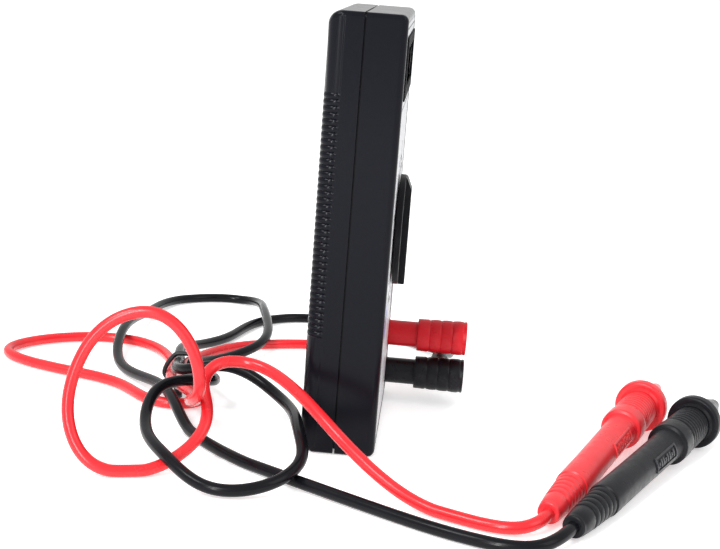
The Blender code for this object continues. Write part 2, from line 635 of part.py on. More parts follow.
def smooth_curve(points, per_interval):
    """Natural cubic spline through points, sampled evenly in each interval."""
    points = np.array(points, dtype=float)
    spans = np.linalg.norm(np.diff(points, axis=0), axis=1)
    count = len(points)
    system = np.eye(count)
    right = np.zeros_like(points)
    for i in range(1, count - 1):
        system[i, i - 1:i + 2] = (spans[i - 1], 2 * (spans[i - 1] + spans[i]), spans[i])
        slopes = (points[i + 1] - points[i]) / spans[i] - (points[i] - points[i - 1]) / spans[i - 1]
        right[i] = 6 * slopes
    bend = np.linalg.solve(system, right)
    samples = []
    for i, span in enumerate(spans):
        for t in np.arange(per_interval) / per_interval:
            a, b = 1 - t, t
            curve = span * span / 6 * ((a ** 3 - a) * bend[i] + (b ** 3 - b) * bend[i + 1])
            samples.append(a * points[i] + b * points[i + 1] + curve)
    samples.append(points[-1])
    return np.array(samples)


def build_board_parts():
    """Components on the back of the board."""
    rear = BOARD_BACK_Y + GAP
    dome = [(0.0070 * math.sin(math.radians(a)), 0.0018 * math.cos(math.radians(a))) for a in (0, 25, 50, 75, 90)]
    turned("converter_chip", dome + [(0, 0)], at(0, rear, 0.090, BACKWARD), EPOXY_BLACK, steps=20)
    box("film_capacitor", (0.0085, rear, 0.0980), (0.0160, 0.0070, 0.1010), CAPACITOR_YELLOW, bevel=0.0006)
    for number in range(4):
        resistor("resistor_%d" % (number + 1), x=-0.022, z=0.084 + 0.004 * number)
    build_trimmer(rear)
    build_fuse(rear)
    route = [(0.0302, rear, 0.0330), (0.0302, 0.0060, 0.0320), (0.0302, 0.0085, 0.0280),
             (0.0302, 0.0088, 0.0224), (0.0302, 0.0085, 0.0168), (0.0302, 0.0060, 0.0128),
             (0.0302, rear, 0.0118)]
    tube("shunt_wire", smooth_curve(route, 2), 0.0008, SHUNT_COPPER)


def resistor(name, x, z):
    """Small resistor with its leads, lying on the board along X."""
    end, half, body, lead = 0.0050, 0.0030, 0.0011, 0.0003
    profile = [(0, end), (lead, end), (lead, half), (body, half - 0.0003), (body, 0.0003 - half),
               (lead, -half), (lead, -end), (0, -end)]
    return turned(name, profile, at(x, BOARD_BACK_Y + GAP + body, z, RIGHTWARD), RESISTOR_BLUE, steps=8)


def build_trimmer(rear):
    """Calibration trimmer: a square base, and a slotted rotor that a screwdriver turns."""
    x, z, half = 0.020, 0.092, 0.0033
    box("trimmer_base", (x - half, rear, z - half), (x + half, rear + 0.0020, z + half), TRIMMER_BLUE,
        bevel=0.0004, segments=1)
    start = rear + 0.0020 + GAP
    rotor = turned("trimmer_rotor", [(0, 0.0010), (0.0019, 0.0010), (0.0021, 0.0008), (0.0021, 0), (0, 0)],
                   at(x, start, z, BACKWARD), CARRIER_WHITE, steps=20)
    cut(rotor, box("trimmer_slot", (x - 0.0014, start + 0.0005, z - 0.0003),
                   (x + 0.0014, start + 0.0020, z + 0.0003)))


def build_fuse(rear):
    """Glass fuse with metal end caps, held in two spring clips."""
    x, z, radius, cap = -0.003, 0.052, 0.0026, 0.0050
    y = rear + 0.0004 + GAP + radius + GAP
    glass = [(0, 0.0092), (0.0021, 0.0092), (0.0021, -0.0092), (0, -0.0092)]
    turned("fuse_glass", glass, at(x, y, z, RIGHTWARD), FUSE_GLASS, steps=16)
    for number, side in enumerate((-1, 1), 1):
        bore = 0.0021 + GAP
        shell = [(0, 0.0100), (radius, 0.0100), (radius, 0.0100 - cap), (bore, 0.0100 - cap),
                 (bore, 0.0092 + GAP), (0, 0.0092 + GAP)]
        turn = Matrix.Rotation(math.radians(90 * side), 4, "Y")
        turned("fuse_cap_%d" % number, shell, at(x, y, z, turn), PIN_NICKEL, steps=16)
        clip_x = x + side * 0.0077
        inner, outer = radius + GAP, radius + GAP + 0.0004
        sweep = [math.radians(a) for a in range(-50, 231, 20)]
        ring = [(outer * math.cos(a), outer * math.sin(a)) for a in sweep]
        ring += [(inner * math.cos(a), inner * math.sin(a)) for a in reversed(sweep)]
        across = Matrix(((0, 0, 1, clip_x), (0, -1, 0, y), (1, 0, 0, z), (0, 0, 0, 1)))
        outline("fuse_clip_%d" % number, ring, 0.0036, across, CONTACT_BRASS)


def build_transistor_socket():
    """Round socket with eight small holes, flush with the label."""
    profile = [(0, 0.0088), (SOCKET_RADIUS - 0.0003, 0.0088), (SOCKET_RADIUS, 0.0085),
               (SOCKET_RADIUS, 0.0009), (0, 0.0009)]
    socket = turned("transistor_socket", profile, at(SOCKET_X, 0, SOCKET_Z, FRONTWARD), SOCKET_BLUE, steps=24)
    holes = []
    for number in range(8):
        angle = math.radians(22.5 + 45 * number)
        x, z = SOCKET_X + 0.0040 * math.cos(angle), SOCKET_Z + 0.0040 * math.sin(angle)
        holes.append(((x, -0.0110, z), (x, -0.0040, z)))
    return cut(socket, rods("socket_holes", 0.0005, holes, segments=6))


# ---------------------------------------------------------------- battery
BATTERY_LOW = (-0.0279, -0.0065, 0.0034)
BATTERY_HIGH = (0.0184, 0.0109, BATTERY_TOP)


def build_battery():
    """Nine-volt block battery on its side below the board, its snap connector and two wires."""
    battery = box("battery_9v", BATTERY_LOW, BATTERY_HIGH, BATTERY_METAL, bevel=0.0015)
    middle_y = (BATTERY_LOW[1] + BATTERY_HIGH[1]) / 2
    middle_z = (BATTERY_LOW[2] + BATTERY_HIGH[2]) / 2
    face = BATTERY_LOW[0]
    studs = [((face + 0.002, middle_y, middle_z + side * 0.0064), (face - 0.0020, middle_y, middle_z + side * 0.0064))
             for side in (-1, 1)]
    join(battery, rods("battery_studs", 0.0028, studs, segments=16))
    snap = box("battery_snap", (-0.0317, middle_y - 0.0060, middle_z - 0.0125),
               (face - GAP, middle_y + 0.0060, middle_z + 0.0125), LEAD_BLACK, bevel=0.0008, segments=1)
    pockets = [((face + 0.002, y, z), (face - 0.0025, y, z)) for (_, y, z), _ in studs]
    cut(snap, rods("snap_pockets", 0.0033, pockets, segments=16))
    start_z = middle_z + 0.0125 + GAP
    for name, shift, finish in (("battery_wire_red", 0.0, LEAD_RED), ("battery_wire_black", 0.0030, LEAD_BLACK)):
        x, y = -0.0300, middle_y + 0.0018 + shift
        end_x, end_z = x + 0.0080 + shift, start_z + 0.0106
        route = [(x, y, start_z), (x, y, start_z + 0.0030), (x + 0.0015, y + 0.0003, start_z + 0.0070),
                 (x + 0.0050 + shift / 2, y, start_z + 0.0098), (end_x, BOARD_BACK_Y + 0.0022, end_z),
                 (end_x, BOARD_BACK_Y + GAP, end_z)]
        tube(name, smooth_curve(route, 2), 0.0006, finish)


# ---------------------------------------------------------------- test leads
def ringed(start, end, start_radius, end_radius, rings, depth):
    """Profile of evenly spaced rings on a taper, from start_radius at start down to end."""
    points = []
    for step in range(2 * rings + 1):
        share = step / (2 * rings)
        inset = depth if step % 2 == 0 else 0.0
        radius = start_radius + (end_radius - start_radius) * share - inset
        points.append((radius, start + (end - start) * share))
    return points


def build_plug(colour, finish, jack_z, relief_drop):
    """Right-angle plug: a shrouded barrel, a ringed grip, a side strain relief, and the metal pin."""
    end, shoulder, barrel_end, pin_root = -PLUG_END_Y, -PLUG_SHOULDER_Y, 0.0026, 0.0163
    profile = [(0, end), (0.0051, end), (0.0055, end - 0.0004)]
    profile += ringed(end - 0.0004, shoulder + 0.0038, 0.00555, 0.0053, 4, 0.00035)
    profile += [(0.0052, shoulder + 0.0036), (0.0052, shoulder + 0.0003), (0.0049, shoulder),
                (PLUG_BARREL_RADIUS, shoulder), (PLUG_BARREL_RADIUS, barrel_end + 0.0003),
                (PLUG_BARREL_RADIUS - 0.0003, barrel_end), (PLUG_PIN_RADIUS + GAP, barrel_end),
                (PLUG_PIN_RADIUS + GAP, pin_root), (0, pin_root)]
    body = turned(colour + "_plug_body", profile, at(JACK_X, 0, jack_z, FRONTWARD), finish, steps=16)
    turn = Matrix.Rotation(relief_drop, 4, "Y") @ RIGHTWARD
    relief = [(0, RELIEF_REACH), (0.0025, RELIEF_REACH)]
    relief += ringed(RELIEF_REACH - 0.0002, 0.0072, 0.0026, 0.0040, 5, 0.0003)
    relief += [(0.00425, 0.0068), (0.00425, 0.0030), (0, 0.0030)]
    join(body, turned(colour + "_relief", relief, at(JACK_X, RELIEF_Y, jack_z, turn), steps=12))
    pin_tip = -0.0075
    pin = [(0, 0.0160), (PLUG_PIN_RADIUS, 0.0160), (PLUG_PIN_RADIUS, pin_tip + 0.0012),
           (PLUG_PIN_RADIUS * 0.55, pin_tip), (0, pin_tip)]
    turned(colour + "_plug_pin", pin, at(JACK_X, 0, jack_z, FRONTWARD), PIN_NICKEL, steps=16)
    axis = turn.to_3x3() @ Vector((0, 0, 1))
    start = Vector((JACK_X, RELIEF_Y, jack_z)) + axis * (RELIEF_REACH + GAP)
    return start, axis


def probe_place(rear, heading):
    """Frame of a probe that lies on the rim of its flange and on its rear end, +Z towards its tip."""
    slope = math.asin((PROBE_FLANGE_Z - PROBE_REAR_Z) / PROBE_FLANGE_AT)
    turn = Matrix.Rotation(heading, 4, "Z") @ Matrix.Rotation(math.radians(90) - slope, 4, "Y")
    return at(rear[0] * MM, rear[1] * MM, PROBE_REAR_Z, turn)


def build_probe(colour, finish, rear, heading):
    """Test probe: ringed strain relief, handle, collar, finger guard and cone, and a metal needle."""
    place = probe_place(rear, heading)
    bore, socket, tip_wall = NEEDLE_RADIUS + GAP, 0.1017, 0.0015
    cone = [(0.0019, PROBE_CONE_END - 0.0006), (0.0052, 0.1052), (0.0071, 0.0994)]
    half, round_off = 0.0019, 0.0006
    front, back, rim = PROBE_FLANGE_AT + half, PROBE_FLANGE_AT - half, PROBE_FLANGE_RADIUS
    flange = [(rim - round_off, front), (rim, front - round_off), (rim, back + round_off), (rim - round_off, back)]
    collar = [(0.0059, 0.0786), (0.0062, 0.0774), (0.0062, 0.0736), (0.0058, 0.0722)]
    handle = [(0.0048, 0.0708), (0.0046, 0.0460), (0.0047, 0.0204)]
    ring_depth = 0.0004
    profile = [(0, socket), (bore, socket), (bore, PROBE_CONE_END), (tip_wall, PROBE_CONE_END)] + cone + flange
    profile += [(0.0050, back - 0.0004)] + ringed(0.0942, 0.0791, 0.0056, 0.0060, 7, ring_depth)
    profile += collar + handle + ringed(0.0199, 0.0004, 0.0043, 0.0029, 5, ring_depth) + [(0.0024, 0), (0, 0)]
    turned(colour + "_probe_body", profile, place, finish, steps=14)
    point, shoulder = 0.0004, 0.0024
    needle = [(0, PROBE_TIP), (NEEDLE_RADIUS * 0.4, PROBE_TIP - point), (NEEDLE_RADIUS, PROBE_TIP - shoulder),
              (NEEDLE_RADIUS, socket + GAP), (0, socket + GAP)]
    turned(colour + "_probe_needle", needle, place, PIN_NICKEL, steps=12)
    axis = place.to_3x3() @ Vector((0, 0, 1))
    return place.translation - axis * GAP, axis


def build_cord(name, finish, plug, route, probe):
    """Cord from the plug's strain relief to the probe's rear end."""
    (start, start_axis), (end, end_axis) = plug, probe
    points = [tuple(start), tuple(start + start_axis * CORD_LEAD)]
    points += [tuple(value * MM for value in point) for point in route]
    points += [tuple(end - end_axis * CORD_LEAD), tuple(end)]
    curve = smooth_curve(points, 2)
    lowest = CORD_DIAMETER / 2 + 0.00005
    curve[:, 2] = np.maximum(curve[:, 2], lowest)
    return tube(name, curve, CORD_DIAMETER / 2, finish)


def build_tie():
    """Twisted wire tie: a loop close around four strands, and its two ends twisted together."""
    reach = CORD_DIAMETER / 2 + 0.0009 + TIE_WIRE_RADIUS
    strands = [Vector((y * MM, z * MM)) for y, z in TIE_STRANDS]
    loop = []
    for number, centre in enumerate(strands):
        before = centre - strands[number - 1]
        after = strands[(number + 1) % len(strands)] - centre
        first = math.atan2(before.y, before.x) - math.pi / 2
        last = math.atan2(after.y, after.x) - math.pi / 2
        while last < first:
            last += 2 * math.pi
        for share in (0.0, 0.5, 1.0):
            angle = first + (last - first) * share
            loop.append((TIE_X, centre.x + reach * math.cos(angle), centre.y + reach * math.sin(angle)))
    # the loop starts and ends below the bundle, and its ends twist away towards -X
    axis_start = Vector((TIE_X - 0.0020, (loop[0][1] + loop[-1][1]) / 2, 0.0016))
    axis_end = Vector((0.0015, 0.0548, 0.0016))
    length = axis_end - axis_start
    sideways = length.cross(Vector((0, 0, 1))).normalized()
    upward = Vector((0, 0, 1))
    twist, turns, per_turn = 0.00075, 2, 6

    def strand(phase):
        points = []
        for step in range(turns * per_turn + 1):
            angle = phase + 2 * math.pi * step / per_turn
            along = axis_start + length * step / (turns * per_turn)
            points.append(tuple(along + sideways * twist * math.cos(angle) + upward * twist * math.sin(angle)))
        return points

    path = list(reversed(strand(0.0))) + loop + strand(math.pi)
    return tube("cord_tie", path, TIE_WIRE_RADIUS, TIE_BLACK, resolution=1)


def build_leads():
    red_plug = build_plug("red", LEAD_RED, JACK_Z["volt"], RED_RELIEF_DROP)
    black_plug = build_plug("black", LEAD_BLACK, JACK_Z["com"], 0.0)
    red_probe = build_probe("red", LEAD_RED, RED_PROBE_REAR, RED_PROBE_HEADING)
    black_probe = build_probe("black", LEAD_BLACK, BLACK_PROBE_REAR, BLACK_PROBE_HEADING)
    build_cord("red_cord", LEAD_RED, red_plug, RED_ROUTE, red_probe)
    build_cord("black_cord", LEAD_BLACK, black_plug, BLACK_ROUTE, black_probe)
    build_tie()


def main():
    build_front_shell()
    build_rear_shell()
    build_label()
    build_screws()
    build_display()
    build_knob()
    build_switch()
    build_board()
    build_jacks()
    build_board_parts()
    build_transistor_socket()
    build_battery()
    build_leads()


main()
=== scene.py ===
"""Looks of the pocket multimeter: detailed case halves, label, knob, plugs, probes and cords."""
import math

import bmesh
import bpy
import numpy as np
from mathutils import Matrix, Vector


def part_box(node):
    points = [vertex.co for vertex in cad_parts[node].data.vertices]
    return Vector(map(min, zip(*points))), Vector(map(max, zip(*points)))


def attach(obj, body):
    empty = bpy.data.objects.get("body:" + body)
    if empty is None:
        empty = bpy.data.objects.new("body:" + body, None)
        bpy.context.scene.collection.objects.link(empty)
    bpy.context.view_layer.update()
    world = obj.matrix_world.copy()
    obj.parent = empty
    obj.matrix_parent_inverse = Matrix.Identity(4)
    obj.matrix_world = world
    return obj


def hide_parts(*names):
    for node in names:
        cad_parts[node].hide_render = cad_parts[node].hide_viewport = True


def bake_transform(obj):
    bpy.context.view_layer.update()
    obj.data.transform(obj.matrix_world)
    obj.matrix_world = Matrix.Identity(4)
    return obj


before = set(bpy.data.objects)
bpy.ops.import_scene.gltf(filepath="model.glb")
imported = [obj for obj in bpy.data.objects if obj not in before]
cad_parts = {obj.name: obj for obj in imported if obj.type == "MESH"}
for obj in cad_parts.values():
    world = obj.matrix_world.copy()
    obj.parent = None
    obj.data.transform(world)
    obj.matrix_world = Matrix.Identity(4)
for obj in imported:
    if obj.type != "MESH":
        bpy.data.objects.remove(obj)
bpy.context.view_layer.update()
scene = bpy.context.scene
scene.view_settings.view_transform = "Standard"

MM = 0.001
FRONTWARD = Matrix.Rotation(math.radians(90), 4, "X")   # local +Z becomes -Y, out of the front
RIGHTWARD = Matrix.Rotation(math.radians(90), 4, "Y")   # local +Z becomes +X


# ------------------------------ camera
CAMERA_AT = Vector((-0.43259, -0.01966, 0.14033))
CAMERA_AHEAD = Vector((0.97604, 0.04570, -0.21272))
CAMERA_RIGHT = Vector((0.06294, -0.99520, 0.07500))
CAMERA_LENS = 72.74


def make_camera():
    data = bpy.data.cameras.new("camera")
    data.lens = CAMERA_LENS
    data.sensor_width = 36
    data.sensor_fit = "HORIZONTAL"
    data.clip_start = 0.01
    camera = bpy.data.objects.new("camera", data)
    scene.collection.objects.link(camera)
    ahead = CAMERA_AHEAD.normalized()
    up = CAMERA_RIGHT.cross(ahead).normalized()
    right = ahead.cross(up)
    turn = Matrix((right, up, -ahead)).transposed().to_4x4()
    camera.matrix_world = Matrix.Translation(CAMERA_AT) @ turn
    scene.camera = camera


make_camera()


# ------------------------------ sizes, read from the frame
def middle(low, high):
    return (low + high) / 2


FRONT_LOW, FRONT_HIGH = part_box("front_shell")
REAR_LOW, REAR_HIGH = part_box("rear_shell")
LABEL_LOW, LABEL_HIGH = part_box("front_label")
WINDOW_LOW, WINDOW_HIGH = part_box("lcd_window")
KNOB_LOW, KNOB_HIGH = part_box("selector_knob")
SOCKET_LOW, SOCKET_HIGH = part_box("transistor_socket")
HALF_WIDTH = FRONT_HIGH.x
HEIGHT = FRONT_HIGH.z
FRONT_Y, BACK_Y = FRONT_LOW.y, REAR_HIGH.y
SEAM_BACK = REAR_LOW.y
SEAM_FRONT = SEAM_BACK - 0.0005
SIDE_RADIUS, FRONT_RADIUS, BACK_RADIUS = 0.0014, 0.0020, 0.0040
KNOB_Z = middle(KNOB_LOW.z, KNOB_HIGH.z)
KNOB_RADIUS = KNOB_HIGH.x
JACKS = {name: middle(*(corner.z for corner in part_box("jack_sleeve_" + name)))
         for name in ("com", "volt", "ten_amp")}
JACK_X = middle(*(corner.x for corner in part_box("jack_sleeve_com")))
WELL_RADIUS = 0.0044
LABEL_FLOOR_Y = FRONT_Y + 0.0008
LABEL_MARGIN = 0.0022
SCREW_PLACES = [tuple(middle(*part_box("case_screw_%d" % n))) for n in (1, 2)]
FIT = 0.0003                # gap between pieces that touch on the real object
PAST = 0.002                # how far a cutting body reaches past what it cuts
THIN_PAST = 0.001           # and past a thin sheet

# ------------------------------ cord routes, the same as the CAD's
CORD_DIAMETER = 0.0034
CORD_LEAD = 0.003           # straight stretch of a cord at each of its ends
RELIEF_Y = -0.0263
RELIEF_REACH = 0.0207       # length of a plug's strain relief, from the plug's axis
RED_RELIEF_DROP = math.atan2(6.4, 20.0)
PROBE_FLANGE_AT = 0.0970
PROBE_REAR_Z = 0.0039
PROBE_FLANGE_Z = 0.00828
RED_ROUTE = [
    (59, -22, 11), (72, -8, 8.2), (78, 12, 2.2), (72, 35, 1.8), (59, 50, 1.8),
    (44, 56.5, 2.2), (21, 55.8, 3.9), (11.5, 50.2, 2.6), (3.5, 46.8, 1.8), (-4.2, 49.5, 1.8),
    (-6.4, 57, 1.8), (8, 74, 1.8), (20, 99, 1.8), (35, 119, 1.8), (60, 100, 1.8),
    (60, 79, 1.8), (42, 65.5, 2.4), (20, 60.3, 3.9), (4, 57.2, 6.4), (-28, 44, 11),
    (-46, 43, 16), (-57, 39, 23.3), (-58, 41.2, 34), (-57, 52, 43), (-58, 64, 39.5),
    (-61, 72, 27), (-65, 72.5, 13), (-69, 65, 3.5), (-66, 51, 1.8), (-61, 42.5, 5.5),
    (-55, 37.5, 11.5), (-49, 38, 16.5), (-42.5, 40, 21), (-36.5, 37, 24.5), (-34.5, 29.5, 25),
    (-42, 17, 22.5), (-60, 0, 14), (-73, -22, 2.6), (-82, -40, 1.8), (-83.5, -49.5, 2.6),
]
RED_PROBE_REAR = (-75.7, -56.2)
RED_PROBE_HEADING = math.radians(-21.0)
BLACK_ROUTE = [
    (66, -30, 6), (90, -19, 2), (108, 4, 1.8), (115, 26, 1.8), (103, 42, 1.8),
    (78, 50, 1.8), (56, 58.5, 3.6), (38, 60.8, 6.8), (20, 58, 7.7), (6, 56.5, 10),
    (-5, 51, 12.8), (-8, 39, 15.6), (-16, 23, 11.3), (-50, 11.5, 10.3), (-61, 9.8, 7.2),
    (-73, 17, 3.6), (-76, 32, 2.4), (-67, 45, 6.2), (-46, 55.5, 9), (-30, 54, 14.5),
    (-17, 43.5, 13.4), (0, 44, 9.4), (20, 53.8, 7.5), (38, 51.2, 3.4), (61, 37, 4.6),
    (84, 37, 6.2), (108, 41.5, 5.8), (136, 54, 1.8), (130, 74, 1.8), (98, 84, 3.4),
    (60, 85.5, 5.8), (32, 80, 2), (4, 62.5, 5), (-13, 54, 5.6), (-30, 45.5, 1.8),
    (-54, 24.5, 1.8), (-80, -14, 1.8), (-93, -38, 1.8), (-94.5, -53, 2.4),
]
BLACK_PROBE_REAR = (-83.7, -62.0)
BLACK_PROBE_HEADING = math.radians(-26.8)


def smooth_curve(points, per_interval):
    """Natural cubic spline through points, sampled evenly in each interval."""
    points = np.array(points, dtype=float)
    spans = np.linalg.norm(np.diff(points, axis=0), axis=1)
    count = len(points)
    system = np.eye(count)
    right = np.zeros_like(points)
    for i in range(1, count - 1):
        system[i, i - 1:i + 2] = (spans[i - 1], 2 * (spans[i - 1] + spans[i]), spans[i])
        ahead, behind = points[i + 1] - points[i], points[i] - points[i - 1]
        right[i] = 6 * (ahead / spans[i] - behind / spans[i - 1])
    bend = np.linalg.solve(system, right)
    samples = []
    for i, span in enumerate(spans):
        for t in np.arange(per_interval) / per_interval:
            a, b = 1 - t, t
            curve = span * span / 6 * ((a ** 3 - a) * bend[i] + (b ** 3 - b) * bend[i + 1])
            samples.append(a * points[i] + b * points[i + 1] + curve)
    samples.append(points[-1])
    return np.array(samples)


# ------------------------------ mesh helpers
def add_object(name, mesh, finish, body=None):
    made = bpy.data.objects.new(name, mesh)
    scene.collection.objects.link(made)
    if finish is not None:
        mesh.materials.append(finish)
    if body:
        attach(made, body)
    return made


def mesh_from(bm, name, sharp_angle=35):
    mesh = bpy.data.meshes.new(name)
    bm.to_mesh(mesh)
    bm.free()
    mesh.shade_smooth()
    mesh.set_sharp_from_angle(angle=math.radians(sharp_angle))
    return mesh


def lathe(profile, place, steps=64):
    """Body of a profile of (radius, height) turned about local Z, outer side from top to bottom."""
    bm = bmesh.new()
    rings = []
    for radius, height in profile:
        if radius < 1e-7:
            rings.append([bm.verts.new(place @ Vector((0, 0, height)))])
            continue
        ring = []
        for step in range(steps):
            angle = 2 * math.pi * step / steps
            point = (radius * math.cos(angle), radius * math.sin(angle), height)
            ring.append(bm.verts.new(place @ Vector(point)))
        rings.append(ring)
    for upper, lower in zip(rings, rings[1:]):
        for step in range(steps):
            after = (step + 1) % steps
            corners = [upper[step % len(upper)], lower[step % len(lower)],
                       lower[after % len(lower)], upper[after % len(upper)]]
            corners = list(dict.fromkeys(corners))
            if len(corners) > 2:
                bm.faces.new(corners)
    return bm


def arc(centre, radius, start, end, count=6):
    """Points of a round stretch of a profile, in (radius, height), angles in degrees."""
    points = []
    for angle in np.radians(np.linspace(start, end, count)):
        points.append((centre[0] + radius * math.cos(angle), centre[1] + radius * math.sin(angle)))
    return points


def rounded_rings(start, end, start_radius, end_radius, rings, depth, per_ring=10):
    """Profile of full rounded rings with narrow grooves between them, down from start to end."""
    points = []
    for step in range(rings * per_ring + 1):
        share = step / (rings * per_ring)
        phase = (step % per_ring) / per_ring
        groove = 1 - abs(math.sin(math.pi * phase)) ** 0.45
        radius = start_radius + (end_radius - start_radius) * share - depth * groove
        points.append((radius, start + (end - start) * share))
    return points


def add_box(bm, low, high):
    low, high = Vector(low), Vector(high)
    place = Matrix.Translation((low + high) / 2) @ Matrix.Diagonal((*(high - low), 1.0))
    bmesh.ops.create_cube(bm, size=1.0, matrix=place)


def add_rod(bm, radius, start, end, segments=48):
    start, end = Vector(start), Vector(end)
    turn = (end - start).to_track_quat("Z", "Y").to_matrix().to_4x4()
    place = Matrix.Translation((start + end) / 2) @ turn
    bmesh.ops.create_cone(bm, cap_ends=True, segments=segments, radius1=radius, radius2=radius,
                          depth=(end - start).length, matrix=place)


def guide(name, bm):
    """A helper body for a Boolean, removed once it is used."""
    mesh = bpy.data.meshes.new(name)
    bm.to_mesh(mesh)
    bm.free()
    return add_object(name, mesh, None)


def with_boolean(obj, other, operation):
    """Apply a Boolean with a helper body at once, and remove the helper."""
    modifier = obj.modifiers.new("boolean", "BOOLEAN")
    modifier.operation = operation
    modifier.object = other
    apply_modifiers(obj)
    bpy.data.objects.remove(other, do_unlink=True)


def apply_modifiers(obj):
    bpy.context.view_layer.update()
    evaluated = obj.evaluated_get(bpy.context.evaluated_depsgraph_get())
    mesh = bpy.data.meshes.new_from_object(evaluated)
    old = obj.data
    obj.modifiers.clear()
    obj.data = mesh
    bpy.data.meshes.remove(old)
    return obj


def resmooth(obj, angle=35):
    obj.data.shade_smooth()
    obj.data.set_sharp_from_angle(angle=math.radians(angle))


def soften(obj, width, segments, angle=None):
    """Bevel the edges of a body, those sharper than an angle in degrees if one is given."""
    soft = obj.modifiers.new("soft_edges", "BEVEL")
    soft.width = width
    soft.segments = segments
    if angle is not None:
        soft.limit_method = "ANGLE"
        soft.angle_limit = math.radians(angle)
    apply_modifiers(obj)


def dress(obj, finish, name, body, node=None):
    """Turn a finished body into a piece, which stands for a CAD node if one is given."""
    obj.name = name
    obj.data.materials.clear()
    obj.data.materials.append(finish)
    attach(obj, body)
    if node:
        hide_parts(node)


def case_block(low, high, rounded_y, edge_radius, segments, side_radius=SIDE_RADIUS):
    """Block with rounded edges around its face at rounded_y and rounded corners behind it."""
    bm = bmesh.new()
    add_box(bm, low, high)
    weight = bm.edges.layers.float.new("bevel_weight_edge")
    for edge in bm.edges:
        first, second = (vertex.co for vertex in edge.verts)
        if abs(first.y - rounded_y) < 1e-6 and abs(second.y - rounded_y) < 1e-6:
            edge[weight] = 1.0
        elif abs(first.y - second.y) > 1e-6:
            edge[weight] = side_radius / edge_radius
    block = guide("block", bm)
    rounding = block.modifiers.new("rounding", "BEVEL")
    rounding.width = edge_radius
    rounding.segments = segments
    rounding.limit_method = "WEIGHT"
    return apply_modifiers(block)


def tube_mesh(points, radius, sides=20):
    """Closed round tube along points, its cross-section carried along without twist."""
    points = [Vector(point) for point in points]
    bm = bmesh.new()
    tangent = (points[1] - points[0]).normalized()
    across = tangent.orthogonal().normalized()
    rings = []
    for index, point in enumerate(points):
        before, after = points[max(index - 1, 0)], points[min(index + 1, len(points) - 1)]
        tangent = (after - before).normalized()
        across = (across - tangent * across.dot(tangent)).normalized()
        other = tangent.cross(across)
        ring = []
        for side in range(sides):
            angle = 2 * math.pi * side / sides
            outward = math.cos(angle) * across + math.sin(angle) * other
            ring.append(bm.verts.new(point + radius * outward))
        rings.append(ring)
    for first, second in zip(rings, rings[1:]):
        for side in range(sides):
            after = (side + 1) % sides
            bm.faces.new((first[side], first[after], second[after], second[side]))
    bm.faces.new(list(reversed(rings[0])))
    bm.faces.new(rings[-1])
    return bm


# ------------------------------ materials
NOISE_LOW, NOISE_HIGH = 0.3, 0.7        # the range that noise mostly stays in
WORN_FROM, WORN_TO = 0.55, 0.66         # pointiness at which an edge starts and ends wearing


def finish_of(name, colour, roughness, metallic=0.0, specular=0.5, grain=5000, depth=0.00002,
              mottle=0.10, unevenness=0.08, wear=None):
    """Procedural surface: grain as bump, cloudy roughness and colour, worn edges if asked for."""
    made = bpy.data.materials.new(name)
    made.use_nodes = True
    made.diffuse_color = (*colour, 1)
    nodes, links = made.node_tree.nodes, made.node_tree.links
    shader = nodes["Principled BSDF"]
    shader.inputs["Metallic"].default_value = metallic
    shader.inputs["Specular IOR Level"].default_value = specular
    place = nodes.new("ShaderNodeTexCoord").outputs["Object"]

    def noise(scale, detail):
        made_noise = nodes.new("ShaderNodeTexNoise")
        made_noise.inputs["Scale"].default_value = scale
        made_noise.inputs["Detail"].default_value = detail
        links.new(place, made_noise.inputs["Vector"])
        return made_noise.outputs["Fac"]

    bump = nodes.new("ShaderNodeBump")
    bump.inputs["Strength"].default_value = 1.0
    bump.inputs["Distance"].default_value = depth
    links.new(noise(grain, 3), bump.inputs["Height"])
    links.new(bump.outputs["Normal"], shader.inputs["Normal"])

    spread = nodes.new("ShaderNodeMapRange")
    spread.inputs["From Min"].default_value = NOISE_LOW
    spread.inputs["From Max"].default_value = NOISE_HIGH
    spread.inputs["To Min"].default_value = roughness - unevenness
    spread.inputs["To Max"].default_value = roughness + unevenness
    links.new(noise(grain / 12, 4), spread.inputs["Value"])
    links.new(spread.outputs["Result"], shader.inputs["Roughness"])

    tint = nodes.new("ShaderNodeValToRGB")
    dark, light = tint.color_ramp.elements
    dark.position, light.position = NOISE_LOW, NOISE_HIGH
    dark.color = (*(value * (1 - mottle) for value in colour), 1)
    light.color = (*(min(value * (1 + mottle), 1) for value in colour), 1)
    links.new(noise(120, 3), tint.inputs["Fac"])
    if wear is None:
        links.new(tint.outputs["Color"], shader.inputs["Base Color"])
        return made
    rubbed = nodes.new("ShaderNodeMapRange")
    rubbed.inputs["From Min"].default_value = WORN_FROM
    rubbed.inputs["From Max"].default_value = WORN_TO
    links.new(nodes.new("ShaderNodeNewGeometry").outputs["Pointiness"], rubbed.inputs["Value"])
    patchy = nodes.new("ShaderNodeMath")
    patchy.operation = "MULTIPLY"
    links.new(rubbed.outputs["Result"], patchy.inputs[0])
    links.new(noise(900, 2), patchy.inputs[1])
    mix = nodes.new("ShaderNodeMix")
    mix.data_type = "RGBA"
    links.new(patchy.outputs["Value"], mix.inputs["Factor"])
    links.new(tint.outputs["Color"], mix.inputs["A"])
    mix.inputs["B"].default_value = (*wear, 1)
    links.new(mix.outputs["Result"], shader.inputs["Base Color"])
    return made


def clear_finish(name):
    """Clear moulded window with faint surface haze."""
    made = finish_of(name, (0.86, 0.90, 0.88), 0.09, grain=1500, depth=0.000004, mottle=0.02,
                     unevenness=0.04)
    shader = made.node_tree.nodes["Principled BSDF"]
    shader.inputs["Transmission Weight"].default_value = 1.0
    shader.inputs["IOR"].default_value = 1.49
    return made


